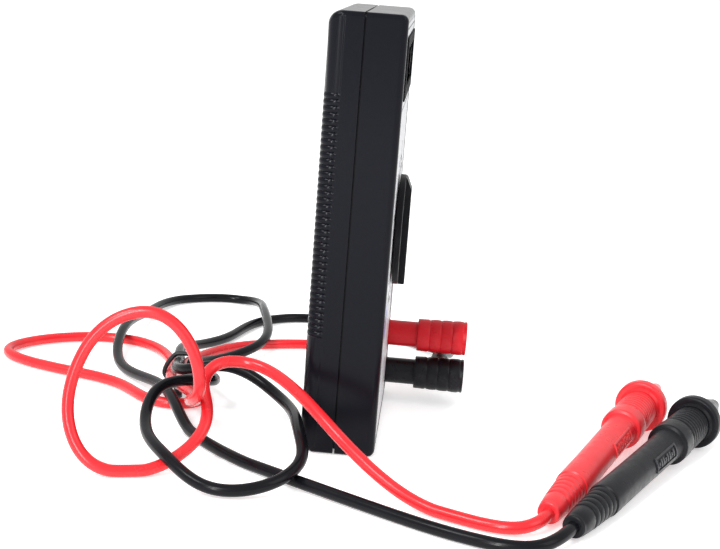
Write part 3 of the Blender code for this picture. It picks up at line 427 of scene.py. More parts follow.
CASE_BLACK = finish_of("case_black", (0.0040, 0.0044, 0.0070), 0.19, specular=0.10, grain=3000,
                       depth=0.000003, mottle=0.02, unevenness=0.015)
KNOB_BLACK = finish_of("knob_black", (0.0060, 0.0063, 0.0078), 0.36, specular=0.10, grain=6000,
                       depth=0.00001)
LABEL_SILVER = finish_of("label_silver", (0.52, 0.53, 0.55), 0.42, metallic=0.35, grain=9000,
                         depth=0.000006, mottle=0.04)
BEZEL_BLACK = finish_of("bezel_black", (0.009, 0.009, 0.011), 0.6, specular=0.04, grain=2500,
                        depth=0.00005, mottle=0.12)
PRINT_BLACK = finish_of("print_black", (0.012, 0.012, 0.014), 0.45, specular=0.3, mottle=0.08)
PRINT_WHITE = finish_of("print_white", (0.78, 0.78, 0.76), 0.5, mottle=0.05)
PRINT_RED = finish_of("print_red", (0.60, 0.02, 0.025), 0.5, mottle=0.06)
WINDOW = clear_finish("window_clear")
LCD_CELL = finish_of("lcd_cell", (0.23, 0.27, 0.24), 0.22, grain=3000, depth=0.0000006, mottle=0.05)
WHITE_PLASTIC = finish_of("white_plastic", (0.70, 0.70, 0.67), 0.45, mottle=0.04)
ELASTOMER = finish_of("elastomer", (0.30, 0.30, 0.32), 0.75, grain=4000, depth=0.00004)
LAMINATE = finish_of("board_laminate", (0.03, 0.17, 0.055), 0.35, grain=3200, depth=0.00002,
                     mottle=0.22)
EPOXY = finish_of("epoxy_black", (0.015, 0.015, 0.016), 0.4, grain=2200, depth=0.00003)
SPRING_STEEL = finish_of("spring_steel", (0.52, 0.52, 0.54), 0.25, metallic=1.0, mottle=0.08)
NICKEL = finish_of("nickel", (0.66, 0.65, 0.62), 0.20, metallic=1.0, grain=4000, depth=0.000006)
BRASS = finish_of("contact_brass", (0.72, 0.50, 0.20), 0.28, metallic=1.0, grain=3000,
                  depth=0.000008, mottle=0.16)
COPPER = finish_of("shunt_copper", (0.70, 0.36, 0.22), 0.30, metallic=1.0, mottle=0.18)
FUSE_GLASS = finish_of("fuse_glass", (0.72, 0.80, 0.80), 0.08, grain=1500, depth=0.000004,
                       mottle=0.03)
BLUE_PLASTIC = finish_of("blue_plastic", (0.03, 0.10, 0.42), 0.38, mottle=0.08)
CAPACITOR = finish_of("capacitor_yellow", (0.75, 0.50, 0.06), 0.35, mottle=0.08)
RESISTOR = finish_of("resistor_blue", (0.16, 0.36, 0.52), 0.40, mottle=0.12)
BATTERY = finish_of("battery_can", (0.30, 0.31, 0.33), 0.34, metallic=0.6, mottle=0.10)
SCREW = finish_of("screw_steel", (0.36, 0.36, 0.38), 0.30, metallic=1.0, mottle=0.18)
# the same red moulding as the probes, its colour darkened as painted shade because the plugs stand
# in less light
PLUG_RED_PAINTED_SHADE = finish_of("plug_red_painted_shade", (0.50, 0.0075, 0.014), 0.34, specular=0.22, grain=4500,
                     depth=0.000012, mottle=0.05, wear=(0.66, 0.10, 0.11))
LEAD_RED = finish_of("lead_red", (0.72, 0.020, 0.028), 0.34, specular=0.45, grain=4500,
                     depth=0.000012, mottle=0.07, wear=(0.85, 0.16, 0.16))
LEAD_BLACK = finish_of("lead_black", (0.0075, 0.0078, 0.0098), 0.32, specular=0.16, grain=4500,
                       depth=0.000012, mottle=0.14, wear=(0.09, 0.09, 0.10))
CORD_RED = finish_of("cord_red", (0.66, 0.016, 0.022), 0.24, specular=0.40, grain=2600,
                     depth=0.000010, mottle=0.06, unevenness=0.05)
CORD_BLACK = finish_of("cord_black", (0.0048, 0.0050, 0.0066), 0.22, specular=0.13, grain=2600,
                       depth=0.000010, mottle=0.12, unevenness=0.05)
TIE_BLACK = finish_of("tie_black", (0.013, 0.013, 0.015), 0.42, specular=0.35, grain=3500,
                      depth=0.00002)

NODE_FINISHES = {
    "lcd_glass": LCD_CELL, "lcd_frame": WHITE_PLASTIC, "zebra_strip": ELASTOMER,
    "main_board": LAMINATE, "converter_chip": EPOXY, "detent_spring_": SPRING_STEEL,
    "detent_ball_": NICKEL, "contact_carrier": WHITE_PLASTIC, "wiper_": BRASS,
    "jack_sleeve_": BRASS, "fuse_clip_": BRASS, "fuse_cap_": NICKEL, "fuse_glass": FUSE_GLASS,
    "shunt_wire": COPPER, "film_capacitor": CAPACITOR, "resistor_": RESISTOR,
    "trimmer_base": BLUE_PLASTIC, "trimmer_rotor": BRASS, "transistor_socket": BLUE_PLASTIC,
    "battery_9v": BATTERY, "battery_snap": LEAD_BLACK, "battery_wire_red": LEAD_RED,
    "battery_wire_black": LEAD_BLACK, "case_screw_": SCREW, "board_screw_": SCREW,
    "red_plug_pin": NICKEL, "black_plug_pin": NICKEL, "red_probe_needle": NICKEL,
    "black_probe_needle": NICKEL,
}


def finish_nodes():
    """Give each carried-over CAD node its material."""
    for name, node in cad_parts.items():
        for start, finish in NODE_FINISHES.items():
            if name.startswith(start):
                node.data.materials.clear()
                node.data.materials.append(finish)


# ------------------------------ leads: cords, plugs and probes
STUB_REACH = 0.028          # stretch of a cord at its plug, made as a piece of its own
LOWEST = CORD_DIAMETER / 2 + 0.00005
INSIDE_PROBE = 0.056        # each cord runs on inside its probe's handle
INSIDE_RELIEF = 0.0007      # and starts this far inside its plug's strain relief


def relief_place(jack, drop):
    turn = Matrix.Rotation(drop, 4, "Y") @ RIGHTWARD
    return Matrix.Translation((JACK_X, RELIEF_Y, JACKS[jack])) @ turn


def probe_place(rear, heading):
    """Frame of a probe that lies on its flange and its rear end, +Z towards its tip."""
    slope = math.asin((PROBE_FLANGE_Z - PROBE_REAR_Z) / PROBE_FLANGE_AT)
    turn = Matrix.Rotation(heading, 4, "Z") @ Matrix.Rotation(math.radians(90) - slope, 4, "Y")
    return Matrix.Translation((rear[0] * MM, rear[1] * MM, PROBE_REAR_Z)) @ turn


def make_cord(colour, finish, jack, drop, route, probe):
    """The lead's cord in two pieces: a short stub at the plug, and the rest."""
    relief = relief_place(jack, drop)
    out = (relief.to_3x3() @ Vector((0, 0, 1))).normalized()
    exit_point = relief.translation + out * (RELIEF_REACH + FIT - INSIDE_RELIEF)
    into = (probe.to_3x3() @ Vector((0, 0, 1))).normalized()
    end = probe.translation - into * FIT
    points = [tuple(exit_point), tuple(exit_point + out * CORD_LEAD)]
    points += [tuple(value * MM for value in point) for point in route]
    points += [tuple(end - into * CORD_LEAD), tuple(end)]
    points += [tuple(end + into * depth) for depth in (0.010, 0.033, INSIDE_PROBE)]
    curve = smooth_curve(points, 12)
    curve[:, 2] = np.maximum(curve[:, 2], LOWEST)
    along = np.concatenate([[0], np.cumsum(np.linalg.norm(np.diff(curve, axis=0), axis=1))])
    split = int(np.searchsorted(along, STUB_REACH))
    stub_name, run_name, slot = colour + "_cord_stub", colour + "_cord_run", colour + "_lead"
    stub_mesh = mesh_from(tube_mesh(curve[:split + 1], CORD_DIAMETER / 2), stub_name)
    stub = add_object(stub_name, stub_mesh, finish)
    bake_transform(stub)
    rest = curve[split:]
    run_mesh = mesh_from(tube_mesh(rest, CORD_DIAMETER / 2), run_name)
    cord = add_object(run_name, run_mesh, finish, "meter")
    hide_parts(colour + "_cord")
    return cord, stub, tuple(curve[0]), rest


def plug_profile():
    """Outline of a plug from its flat front end down its barrel and back up its bore."""
    end, shoulder, barrel_end, pin_root = 0.0342, 0.0183, 0.0026, 0.0163
    bore = 0.0023
    points = [(0, end), (0.0036, end + 0.00005)]
    points += arc((0.0050, end - 0.0005), 0.0005, 90, 20, 6)
    points += rounded_rings(end - 0.0011, shoulder + 0.0040, 0.00555, 0.0053, 3, 0.00028, 14)
    points += [(0.00528, shoulder + 0.0034), (0.0052, shoulder + 0.0012)]
    points += arc((0.0049, shoulder + 0.0003), 0.0003, 0, -90, 5)
    points += [(0.0042, shoulder), (0.00412, shoulder - 0.0002), (0.0041, shoulder - 0.0010)]
    points += [(0.0041, barrel_end + 0.0040)]
    points += arc((0.0037, barrel_end + 0.0004), 0.0004, 0, -90, 5)
    points += [(bore + 0.0003, barrel_end), (bore, barrel_end + 0.0003)]
    points += [(bore, pin_root), (0, pin_root)]
    return points


def make_plug(colour, finish, body, jack, drop):
    """Right-angle plug: barrel, wavy grip and ringed side strain relief in one moulding."""
    place = Matrix.Translation((JACK_X, 0, JACKS[jack])) @ FRONTWARD
    name = colour + "_plug"
    plug = add_object(name, mesh_from(lathe(plug_profile(), place), name), None)
    relief = [(0, RELIEF_REACH), (0.0019, RELIEF_REACH)]
    relief += arc((0.0023, RELIEF_REACH - 0.0003), 0.0003, 90, 10, 4)
    relief += rounded_rings(RELIEF_REACH - 0.0005, 0.0072, 0.0026, 0.0040, 6, 0.00038, 10)
    relief += [(0.0041, 0.0070), (0.00425, 0.0064), (0.00425, 0.0025), (0, 0.0025)]
    with_boolean(plug, guide("relief", lathe(relief, relief_place(jack, drop), 48)), "UNION")
    resmooth(plug, 40)
    dress(plug, finish, name, body, name + "_body")
    return plug


PROBE_BODY_RADIUS = 0.0047


def probe_profile():
    """Outline of a probe from its tip end down to its rear end."""
    bore, bore_end, cone_end = 0.0013, 0.1017, 0.1168
    flange, half, rim = PROBE_FLANGE_AT, 0.0019, 0.00815
    points = [(0, bore_end), (bore, bore_end), (bore, cone_end - 0.0001)]
    points += arc((0.0016, cone_end - 0.0003), 0.0003, 120, 15, 5)
    points += [(0.0025, cone_end - 0.0026), (0.0050, flange + 0.0090), (0.0066, flange + 0.0038)]
    points += [(0.0071, flange + half + 0.0003), (0.0073, flange + half)]
    points += arc((rim - 0.0008, flange + half - 0.0008), 0.0008, 90, 0, 7)
    points += arc((rim - 0.0008, flange - half + 0.0008), 0.0008, 0, -90, 7)
    points += [(0.0064, flange - half), (0.0060, flange - half - 0.0005)]
    points += [(0.0058, flange - half - 0.0010)]
    points += rounded_rings(0.0941, 0.0792, 0.0057, 0.0060, 8, 0.00038, 12)
    points += arc((0.0056, 0.0780), 0.0006, 80, 20, 4)
    points += [(0.0062, 0.0770), (0.00625, 0.0752), (0.0062, 0.0732)]
    points += arc((0.0056, 0.0724), 0.0006, 0, -60, 5)
    points += [(0.0052, 0.0716), (0.0049, 0.0708), (0.0047, 0.0690)]
    points += [(0.0046, 0.0460), (0.0046, 0.0330)]
    points += [(PROBE_BODY_RADIUS, 0.0212), (0.0046, 0.0204)]
    points += rounded_rings(0.0201, 0.0071, 0.0044, 0.0038, 5, 0.00036, 12)
    points += [(0.0037, 0.0060), (0.0033, 0.0016)]
    points += arc((0.0026, 0.0005), 0.0005, 30, -90, 5)
    points += [(0.0016, 0), (0, 0)]
    return points


def add_patch(bm, place, stations, angles, radii):
    """Raised patch on a round handle, between two stations and two angles."""
    cells = 6
    layers = []
    for radius in radii:
        grid = []
        for station in stations:
            row = []
            for angle in np.linspace(angles[0], angles[1], cells + 1):
                point = (radius * math.cos(angle), radius * math.sin(angle), station)
                row.append(bm.verts.new(place @ Vector(point)))
            grid.append(row)
        layers.append(grid)
    (low_near, low_far), (high_near, high_far) = layers
    for i in range(cells):
        bm.faces.new((high_near[i], high_near[i + 1], high_far[i + 1], high_far[i]))
        bm.faces.new((low_near[i], low_far[i], low_far[i + 1], low_near[i + 1]))
        bm.faces.new((low_near[i], low_near[i + 1], high_near[i + 1], high_near[i]))
        bm.faces.new((low_far[i], high_far[i], high_far[i + 1], low_far[i + 1]))
    bm.faces.new((low_near[0], high_near[0], high_far[0], low_far[0]))
    bm.faces.new((low_near[-1], low_far[-1], high_far[-1], high_near[-1]))


def make_probe(colour, finish, place):
    """Test probe, and the raised panel with plain bars on the side of its handle."""
    name, slot = colour + "_probe", colour + "_lead"
    handle_mesh = mesh_from(lathe(probe_profile(), place, 72), name, 40)
    body = add_object(name, handle_mesh, finish, "meter")
    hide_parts(colour + "_probe_body")
    facing, half_angle = math.radians(-108), math.radians(26)
    first, last, line = 0.0500, 0.0662, 0.0005
    radii = (0.0044, 0.00502)
    low, high = facing - half_angle, facing + half_angle
    thin = line / PROBE_BODY_RADIUS
    bm = bmesh.new()
    add_patch(bm, place, (first, last), (low, low + thin), radii)
    add_patch(bm, place, (first, last), (high - thin, high), radii)
    add_patch(bm, place, (first, first + line), (low + thin, high - thin), radii)
    add_patch(bm, place, (last - line, last), (low + thin, high - thin), radii)
    bars, margin, bar_share = 8, 0.0014, 0.56
    long_inset, short_inset = 2.2, 3.4          # gaps beside a bar, in widths of the frame's line
    pitch = (last - first - 2 * margin) / bars
    for bar in range(bars):
        start = first + margin + bar * pitch
        inset = thin * (long_inset if bar % 3 else short_inset)
        add_patch(bm, place, (start, start + pitch * bar_share), (low + inset, high - inset), radii)
    bmesh.ops.recalc_face_normals(bm, faces=bm.faces)
    panel = add_object(name + "_panel", mesh_from(bm, name + "_panel"), finish, "meter")
    return body, panel


def make_tie():
    """Twisted wire tie around four strands of the leads, its ends twisted together."""
    strands = [(60.3, 3.9), (58.0, 7.8), (53.8, 7.6), (55.4, 3.8)]      # (Y, Z), in millimetres
    wire, coated, tie_x, clearance = 0.0005, 1.5, 0.020, 0.00035
    reach = CORD_DIAMETER / 2 + clearance + wire
    centres = [Vector((y * MM, z * MM)) for y, z in strands]
    loop = []
    for number, centre in enumerate(centres):
        before = centre - centres[number - 1]
        after = centres[(number + 1) % len(centres)] - centre
        first = math.atan2(before.y, before.x) - math.pi / 2
        last = math.atan2(after.y, after.x) - math.pi / 2
        while last < first:
            last += 2 * math.pi
        for share in (0.0, 0.5, 1.0):
            angle = first + (last - first) * share
            y, z = centre.x + reach * math.cos(angle), centre.y + reach * math.sin(angle)
            loop.append((tie_x, y, z))
    twist_height = 0.0016
    start = Vector((tie_x - 0.0020, (loop[0][1] + loop[-1][1]) / 2, twist_height))
    end = Vector((0.0015, 0.0548, twist_height))
    sideways = (end - start).cross(Vector((0, 0, 1))).normalized()
    twist, turns, per_turn = 0.00065, 3, 8
    steps = turns * per_turn

    def strand(phase):
        points = []
        for step in range(steps + 1):
            angle = phase + 2 * math.pi * step / per_turn
            along = start + (end - start) * step / steps
            points.append(tuple(along + sideways * twist * math.cos(angle)
                                + Vector((0, 0, 1)) * twist * math.sin(angle)))
        return points

    path = smooth_curve(list(reversed(strand(0.0))) + loop + strand(math.pi), 4)
    path[:, 2] = np.maximum(path[:, 2], wire + 0.0001)
    tie_mesh = mesh_from(tube_mesh(path, wire * coated, 12), "wire_tie")
    tie = add_object("wire_tie", tie_mesh, TIE_BLACK, "meter")
    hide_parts("cord_tie")


def make_leads():
    """Both leads, each with its plug, cord and probe, and the tie around their bundle."""
    leads = (
        # the red plug's finish is the probes' red darkened as painted shade; the black plug uses
        # the probes' own black
        ("red", PLUG_RED_PAINTED_SHADE, LEAD_RED, CORD_RED, "red_plug", "volt", RED_RELIEF_DROP,
         RED_ROUTE, RED_PROBE_REAR, RED_PROBE_HEADING, 0.755),
        ("black", LEAD_BLACK, LEAD_BLACK, CORD_BLACK, "black_plug", "com", 0.0,
         BLACK_ROUTE, BLACK_PROBE_REAR, BLACK_PROBE_HEADING, 0.974),
    )
    for (colour, plug_finish, finish, cord_finish, body, jack, drop,
         route, rear, heading, length) in leads:
        probe = probe_place(rear, heading)
        cord, stub, exit_point, path = make_cord(colour, cord_finish, jack, drop, route,
                                                 probe)
        plug = make_plug(colour, plug_finish, body, jack, drop)
        handle, panel = make_probe(colour, finish, probe)
    make_tie()


# ------------------------------ case halves
def settle_normals(obj, angle=35):
    """Flat faces stay flat beside rounded edges."""
    resmooth(obj, angle)
    weighted = obj.modifiers.new("weighted", "WEIGHTED_NORMAL")
    weighted.keep_sharp = True
    weighted.weight = 90
    apply_modifiers(obj)


SIDE_WALL, FRONT_WALL, REAR_SIDE_WALL, REAR_WALL = 0.0027, 0.0020, 0.0020, 0.0018
POST_ROOT = 0.0008          # posts and wells start this deep inside the wall they stand on
WELL_FLOOR = -0.002
LCD_HALF, LCD_BOTTOM, LCD_TOP = 0.029, 0.103, 0.119
HUB_HOLE = 0.0065
SOCKET_PLACE = (middle(SOCKET_LOW.x, SOCKET_HIGH.x), middle(SOCKET_LOW.z, SOCKET_HIGH.z))
SOCKET_RADIUS = (SOCKET_HIGH.x - SOCKET_LOW.x) / 2


def add_display_and_hub_holes(bm, before, behind):
    add_box(bm, (-LCD_HALF, before, LCD_BOTTOM), (LCD_HALF, behind, LCD_TOP))
    add_rod(bm, HUB_HOLE, (0, before, KNOB_Z), (0, behind, KNOB_Z), 96)


def add_jack_holes(bm, radius, before, behind):
    for z in JACKS.values():
        add_rod(bm, radius, (JACK_X, before, z), (JACK_X, behind, z), 64)


def add_socket_hole(bm, before, behind):
    x, z = SOCKET_PLACE
    add_rod(bm, SOCKET_RADIUS + FIT, (x, before, z), (x, behind, z), 64)


def rods_guide(name, radius, ends, segments=48):
    bm = bmesh.new()
    for start, end in ends:
        add_rod(bm, radius, start, end, segments)
    return guide(name, bm)


def screw_rods(name, radius, start_y, end_y):
    """Rods along Y at both case screws."""
    return rods_guide(name, radius, [((x, start_y, z), (x, end_y, z)) for x, _, z in SCREW_PLACES])


def box_guide(name, low, high):
    bm = bmesh.new()
    add_box(bm, low, high)
    return guide(name, bm)


def make_front_shell():
    """Front half: rounded tray with jack wells, screw posts, a lip at the seam and label recess."""
    well_wall, post_radius, post_end = 0.0011, 0.0030, -0.0002
    shell = case_block((-HALF_WIDTH, FRONT_Y, 0), (HALF_WIDTH, SEAM_FRONT, HEIGHT),
                       FRONT_Y, FRONT_RADIUS, 8)
    inside = HALF_WIDTH - SIDE_WALL
    inner_y = FRONT_Y + FRONT_WALL
    with_boolean(shell, box_guide("cavity", (-inside, inner_y, SIDE_WALL),
                                  (inside, SEAM_FRONT + PAST, HEIGHT - SIDE_WALL)), "DIFFERENCE")
    root = inner_y - POST_ROOT
    with_boolean(shell, rods_guide("wells", WELL_RADIUS + well_wall, [
        ((JACK_X, root, z), (JACK_X, WELL_FLOOR, z)) for z in JACKS.values()]), "UNION")
    with_boolean(shell, screw_rods("posts", post_radius, root, post_end), "UNION")
    # lip inside the seam, so that the seam isn't open to the inside of the case
    lip_edge, lip_wall, lip_end = 0.0014, 0.0008, SEAM_BACK - 0.00004
    outer, inner = HALF_WIDTH - lip_edge, HALF_WIDTH - lip_edge - lip_wall
    lip_root = SEAM_FRONT - 0.001
    lip = box_guide("lip", (-outer, lip_root, lip_edge), (outer, lip_end, HEIGHT - lip_edge))
    low, high = lip_edge + lip_wall, HEIGHT - lip_edge - lip_wall
    with_boolean(lip, box_guide("lip_inside", (-inner, SEAM_FRONT - PAST, low),
                                (inner, lip_end + THIN_PAST, high)), "DIFFERENCE")
    with_boolean(shell, lip, "UNION")
    edge = HALF_WIDTH - LABEL_MARGIN
    with_boolean(shell, box_guide("recess", (-edge, FRONT_Y - PAST, LABEL_MARGIN),
                                  (edge, LABEL_FLOOR_Y, HEIGHT - LABEL_MARGIN)), "DIFFERENCE")
    bm = bmesh.new()
    before, behind = FRONT_Y - PAST, inner_y + PAST
    add_display_and_hub_holes(bm, before, behind)
    add_socket_hole(bm, before, behind)
    add_jack_holes(bm, WELL_RADIUS, before, WELL_FLOOR + PAST)
    with_boolean(shell, guide("openings", bm), "DIFFERENCE")
    settle_normals(shell)
    dress(shell, CASE_BLACK, "front_case", "meter", "front_shell")


RIB_COUNT = 38              # grip ribs on each long rear corner
RIB_PITCH = 0.00183
RIB_BOTTOM = 0.035
RIB_SLICES = 8
RIB_HEIGHT, RIB_DEPTH = 0.00002, 0.00034    # above and below the case's surface
RIB_SIDE = (0.0080, 0.0087)         # the ribs fade in between these Y on the side
RIB_BACK = (0.0298, 0.0306)         # and fade out between these X on the back


def ramp(value, low, high):
    share = min(max((value - low) / (high - low), 0), 1)
    return share * share * (3 - 2 * share)


def slice_mesh(bm, point, normal, keep):
    """Cut the faces whose middle passes keep() along a plane."""
    faces = [face for face in bm.faces if keep(face.calc_center_bounds())]
    parts = faces + list({edge for face in faces for edge in face.edges})
    parts += list({vertex for face in faces for vertex in face.verts})
    bmesh.ops.bisect_plane(bm, geom=parts, dist=1e-7, plane_co=point, plane_no=normal)


def add_ribs(obj):
    """Slice both long rear corners and move their points into rounded ribs."""
    def in_rib_region(centre):
        return abs(centre.x) > RIB_BACK[0] and centre.y > RIB_SIDE[0]

    bm = bmesh.new()
    bm.from_mesh(obj.data)
    for y in np.linspace(RIB_SIDE[0], BACK_Y - BACK_RADIUS, 6):
        slice_mesh(bm, (0, y, 0), (0, 1, 0), lambda centre: True)
    for side in (-1, 1):
        for x in np.linspace(RIB_BACK[0], HALF_WIDTH - BACK_RADIUS, 5):
            slice_mesh(bm, (side * x, 0, 0), (side, 0, 0), lambda centre: centre.y > RIB_SIDE[0])
    count = RIB_COUNT * RIB_SLICES
    bottom, top = RIB_BOTTOM - RIB_PITCH / 2, RIB_BOTTOM + (RIB_COUNT - 0.5) * RIB_PITCH
    for z in np.linspace(bottom, top, count + 1):
        slice_mesh(bm, (0, 0, z), (0, 0, 1), in_rib_region)
    centre_x, centre_y = HALF_WIDTH - BACK_RADIUS, BACK_Y - BACK_RADIUS
    for vertex in bm.verts:
        x, y, z = vertex.co
        if not bottom - 1e-6 < z < top + 1e-6:
            continue
        strength = ramp(y, *RIB_SIDE) * ramp(abs(x), *RIB_BACK)
        if strength <= 0:
            continue
        wave = abs(math.sin(math.pi * (z - bottom) / RIB_PITCH)) ** 0.6
        past_x, past_y = math.copysign(max(abs(x) - centre_x, 0), x), max(y - centre_y, 0)
        outward = Vector((past_x, past_y, 0)).normalized()
        end_fade = ramp(min(z - bottom, top - z), 0, RIB_PITCH * 0.4)
        vertex.co += outward * strength * (RIB_HEIGHT * wave * end_fade - RIB_DEPTH * (1 - wave))
    bm.to_mesh(obj.data)
    bm.free()


def make_rear_shell():
    """Rear half: tray with rounded long corners, grip ribs, and two deep screw holes."""
    shell = case_block((-HALF_WIDTH, SEAM_BACK, 0), (HALF_WIDTH, BACK_Y, HEIGHT),
                       BACK_Y, BACK_RADIUS, 12)
    add_ribs(shell)
    inner_y = BACK_Y - REAR_WALL
    inside = HALF_WIDTH - REAR_SIDE_WALL
    cavity = case_block((-inside, SEAM_BACK - PAST, REAR_SIDE_WALL),
                        (inside, inner_y, HEIGHT - REAR_SIDE_WALL),
                        inner_y, BACK_RADIUS - REAR_WALL, 4, side_radius=0.0)
    with_boolean(shell, cavity, "DIFFERENCE")
    post_radius, head_radius, shank_radius = 0.0040, 0.0029, 0.0016
    post_end, head_seat, shank_from, shank_to = 0.0001, 0.0080, -0.0010, 0.0100
    with_boolean(shell, screw_rods("posts", post_radius, post_end, inner_y + POST_ROOT), "UNION")
    for name, radius, start_y, end_y in (("head_wells", head_radius, head_seat, BACK_Y + PAST),
                                         ("shank_holes", shank_radius, shank_from, shank_to)):
        with_boolean(shell, screw_rods(name, radius, start_y, end_y), "DIFFERENCE")
    settle_normals(shell)
    dress(shell, CASE_BLACK, "rear_case", "meter", "rear_shell")


# ------------------------------ front: label, prints, window, knob
def make_label():
    """Printed metallic sheet with softened edges."""
    label = box_guide("label", LABEL_LOW, LABEL_HIGH)
    bm = bmesh.new()
    before, behind = FRONT_Y - PAST, LABEL_HIGH.y + PAST
    add_display_and_hub_holes(bm, before, behind)
    add_jack_holes(bm, WELL_RADIUS + FIT, before, behind)
    add_socket_hole(bm, before, behind)
    with_boolean(label, guide("openings", bm), "DIFFERENCE")
    soften(label, 0.00008, 2, 60)
    settle_normals(label)
    dress(label, LABEL_SILVER, "face_label", "meter", "front_label")


PRINT_Y = LABEL_LOW.y
INK = 0.00003               # thickness of the printing


def add_bar(bm, middle_point, length, width, angle):
    """Thin printed bar around (x, z), turned by angle from the X axis."""
    x, z = middle_point
    place = Matrix.Translation((x, PRINT_Y - INK / 2, z)) @ Matrix.Rotation(-angle, 4, "Y")
    place = place @ Matrix.Diagonal((length, INK, width, 1.0))
    bmesh.ops.create_cube(bm, size=1.0, matrix=place)


def add_ring(bm, centre, inner, outer, steps=72):
    """Thin printed ring, in the plane of the label."""
    x, z = centre
    rings = []
    for step in range(steps):
        angle = 2 * math.pi * step / steps
        corner = []
        for radius in (inner, outer):
            for y in (PRINT_Y, PRINT_Y - INK):
                point = (x + radius * math.cos(angle), y, z + radius * math.sin(angle))
                corner.append(bm.verts.new(point))
        rings.append(corner)
    for first, second in zip(rings, rings[1:] + rings[:1]):
        for a, b in ((0, 1), (1, 3), (3, 2), (2, 0)):
            bm.faces.new((first[a], first[b], second[b], second[a]))


def add_number(bm, text, centre, size):
    """Raised digits, set upright and centred on (x, z)."""
    curve = bpy.data.curves.new("digits", "FONT")
    curve.body = text
    curve.size = size
    curve.align_x = "CENTER"
    curve.align_y = "CENTER"
    curve.extrude = INK / 2
    curve.resolution_u = 3
    holder = bpy.data.objects.new("digits", curve)
    scene.collection.objects.link(holder)
    mesh = bpy.data.meshes.new_from_object(holder)
    mesh.transform(Matrix.Translation((centre[0], PRINT_Y - INK / 2, centre[1])) @ FRONTWARD)
    bm.from_mesh(mesh)
    bpy.data.meshes.remove(mesh)
    bpy.data.objects.remove(holder, do_unlink=True)
    bpy.data.curves.remove(curve)


def print_piece(bm, name, finish):
    bmesh.ops.recalc_face_normals(bm, faces=bm.faces)
    return add_object(name, mesh_from(bm, name), finish, "meter")


RANGES = ("0", "750", "200", "1000", "200", "20", "2", "200", "20", "2",
          "10", "200", "20", "2", "200", "2", "200", "20", "2", "200")


GROUP_STARTS = (1, 3, 8, 11, 14, 17)    # positions with a dividing line before them
TICK_AT, TICK_LENGTH, TICK_WIDTH = 0.0184, 0.0018, 0.00035
NUMBER_ACROSS, NUMBER_UP, NUMBER_SIZE = 0.0222, 0.0217, 0.0026
DIVIDER_AT, DIVIDER_LENGTH, DIVIDER_WIDTH = 0.0238, 0.0060, 0.0003


def make_dial_print():
    """Scale around the knob: a tick and a number at each position, and lines between groups."""
    bm = bmesh.new()
    for position, text in enumerate(RANGES):
        angle = math.pi / 2 - 2 * math.pi * position / len(RANGES)
        across, upward = math.cos(angle), math.sin(angle)
        add_bar(bm, (TICK_AT * across, KNOB_Z + TICK_AT * upward), TICK_LENGTH, TICK_WIDTH, angle)
        add_number(bm, text, (NUMBER_ACROSS * across, KNOB_Z + NUMBER_UP * upward), NUMBER_SIZE)
    for position in GROUP_STARTS:
        angle = math.pi / 2 - 2 * math.pi * (position - 0.5) / len(RANGES)
        point = (DIVIDER_AT * math.cos(angle), KNOB_Z + DIVIDER_AT * math.sin(angle))
        add_bar(bm, point, DIVIDER_LENGTH, DIVIDER_WIDTH, angle)
    print_piece(bm, "dial_print", PRINT_BLACK)


def make_border_print():
    """Thin frame line around the label, and a line under the display."""
    bm = bmesh.new()
    edge, low, high, under_display, line = 0.0305, 0.0040, 0.1220, 0.0995, 0.0004
    for x in (-edge, edge):
        add_bar(bm, (x, (low + high) / 2), line, high - low, 0)
    for z in (low, high):
        add_bar(bm, (0, z), 2 * edge, line, 0)
    add_bar(bm, (0, under_display), 2 * edge, line, 0)
    print_piece(bm, "border_print", PRINT_BLACK)


def make_jack_prints():
    """Dark field and white ring around the large-current jack, and a ring around the others."""
    x_low, x_high, z_low, z_high, corner = 0.0178, 0.0300, 0.0294, 0.0406, 0.0015
    sheet = box_guide("jack_field", (x_low, PRINT_Y - INK, z_low), (x_high, PRINT_Y, z_high))
    bm = bmesh.new()
    bm.from_mesh(sheet.data)
    uprights = [edge for edge in bm.edges if abs(edge.verts[0].co.y - edge.verts[1].co.y) > INK / 2]
    bmesh.ops.bevel(bm, geom=uprights, offset=corner, segments=6, affect="EDGES")
    bm.to_mesh(sheet.data)
    bm.free()
    ease = WELL_RADIUS + FIT + 0.0001
    z = JACKS["ten_amp"]
    hole = [((JACK_X, PRINT_Y - THIN_PAST, z), (JACK_X, PRINT_Y + THIN_PAST, z))]
    with_boolean(sheet, rods_guide("hole", ease, hole, 64), "DIFFERENCE")
    resmooth(sheet)
    dress(sheet, PRINT_BLACK, "jack_field_print", "meter")
    for jack, finish in (("volt", PRINT_RED), ("com", PRINT_BLACK)):
        bm = bmesh.new()
        add_ring(bm, (JACK_X, JACKS[jack]), ease, ease + 0.0008)
        print_piece(bm, jack + "_ring_print", finish)
    bm = bmesh.new()
    add_ring(bm, (JACK_X, JACKS["ten_amp"]), ease + 0.0001, ease + 0.0005)
    white = print_piece(bm, "ten_amp_ring_print", PRINT_WHITE)
    white.data.transform(Matrix.Translation((0, -INK, 0)))


VIEW_HALF, VIEW_LOW, VIEW_HIGH = 0.0245, 0.1055, 0.1166         # visible part of the display
WINDOW_RECESS = 0.0008


def view_guide(before, behind):
    return box_guide("view", (-VIEW_HALF, before, VIEW_LOW), (VIEW_HALF, behind, VIEW_HIGH))


def make_window():
    """Clear display window with bevelled edges, and the dark mask printed behind it."""
    front = (WINDOW_LOW.x, WINDOW_LOW.y + WINDOW_RECESS, WINDOW_LOW.z)
    window = box_guide("window", front, WINDOW_HIGH)
    soften(window, 0.0003, 3)
    settle_normals(window)
    dress(window, WINDOW, "display_window", "meter", "lcd_window")
    mask_front, mask_back = WINDOW_HIGH.y + 0.00004, WINDOW_HIGH.y + 0.00012
    mask = box_guide("mask", (WINDOW_LOW.x, mask_front, WINDOW_LOW.z),
                     (WINDOW_HIGH.x, mask_back, WINDOW_HIGH.z))
    with_boolean(mask, view_guide(WINDOW_HIGH.y - THIN_PAST, WINDOW_HIGH.y + THIN_PAST),
                 "DIFFERENCE")
    dress(mask, PRINT_BLACK, "display_mask", "meter")


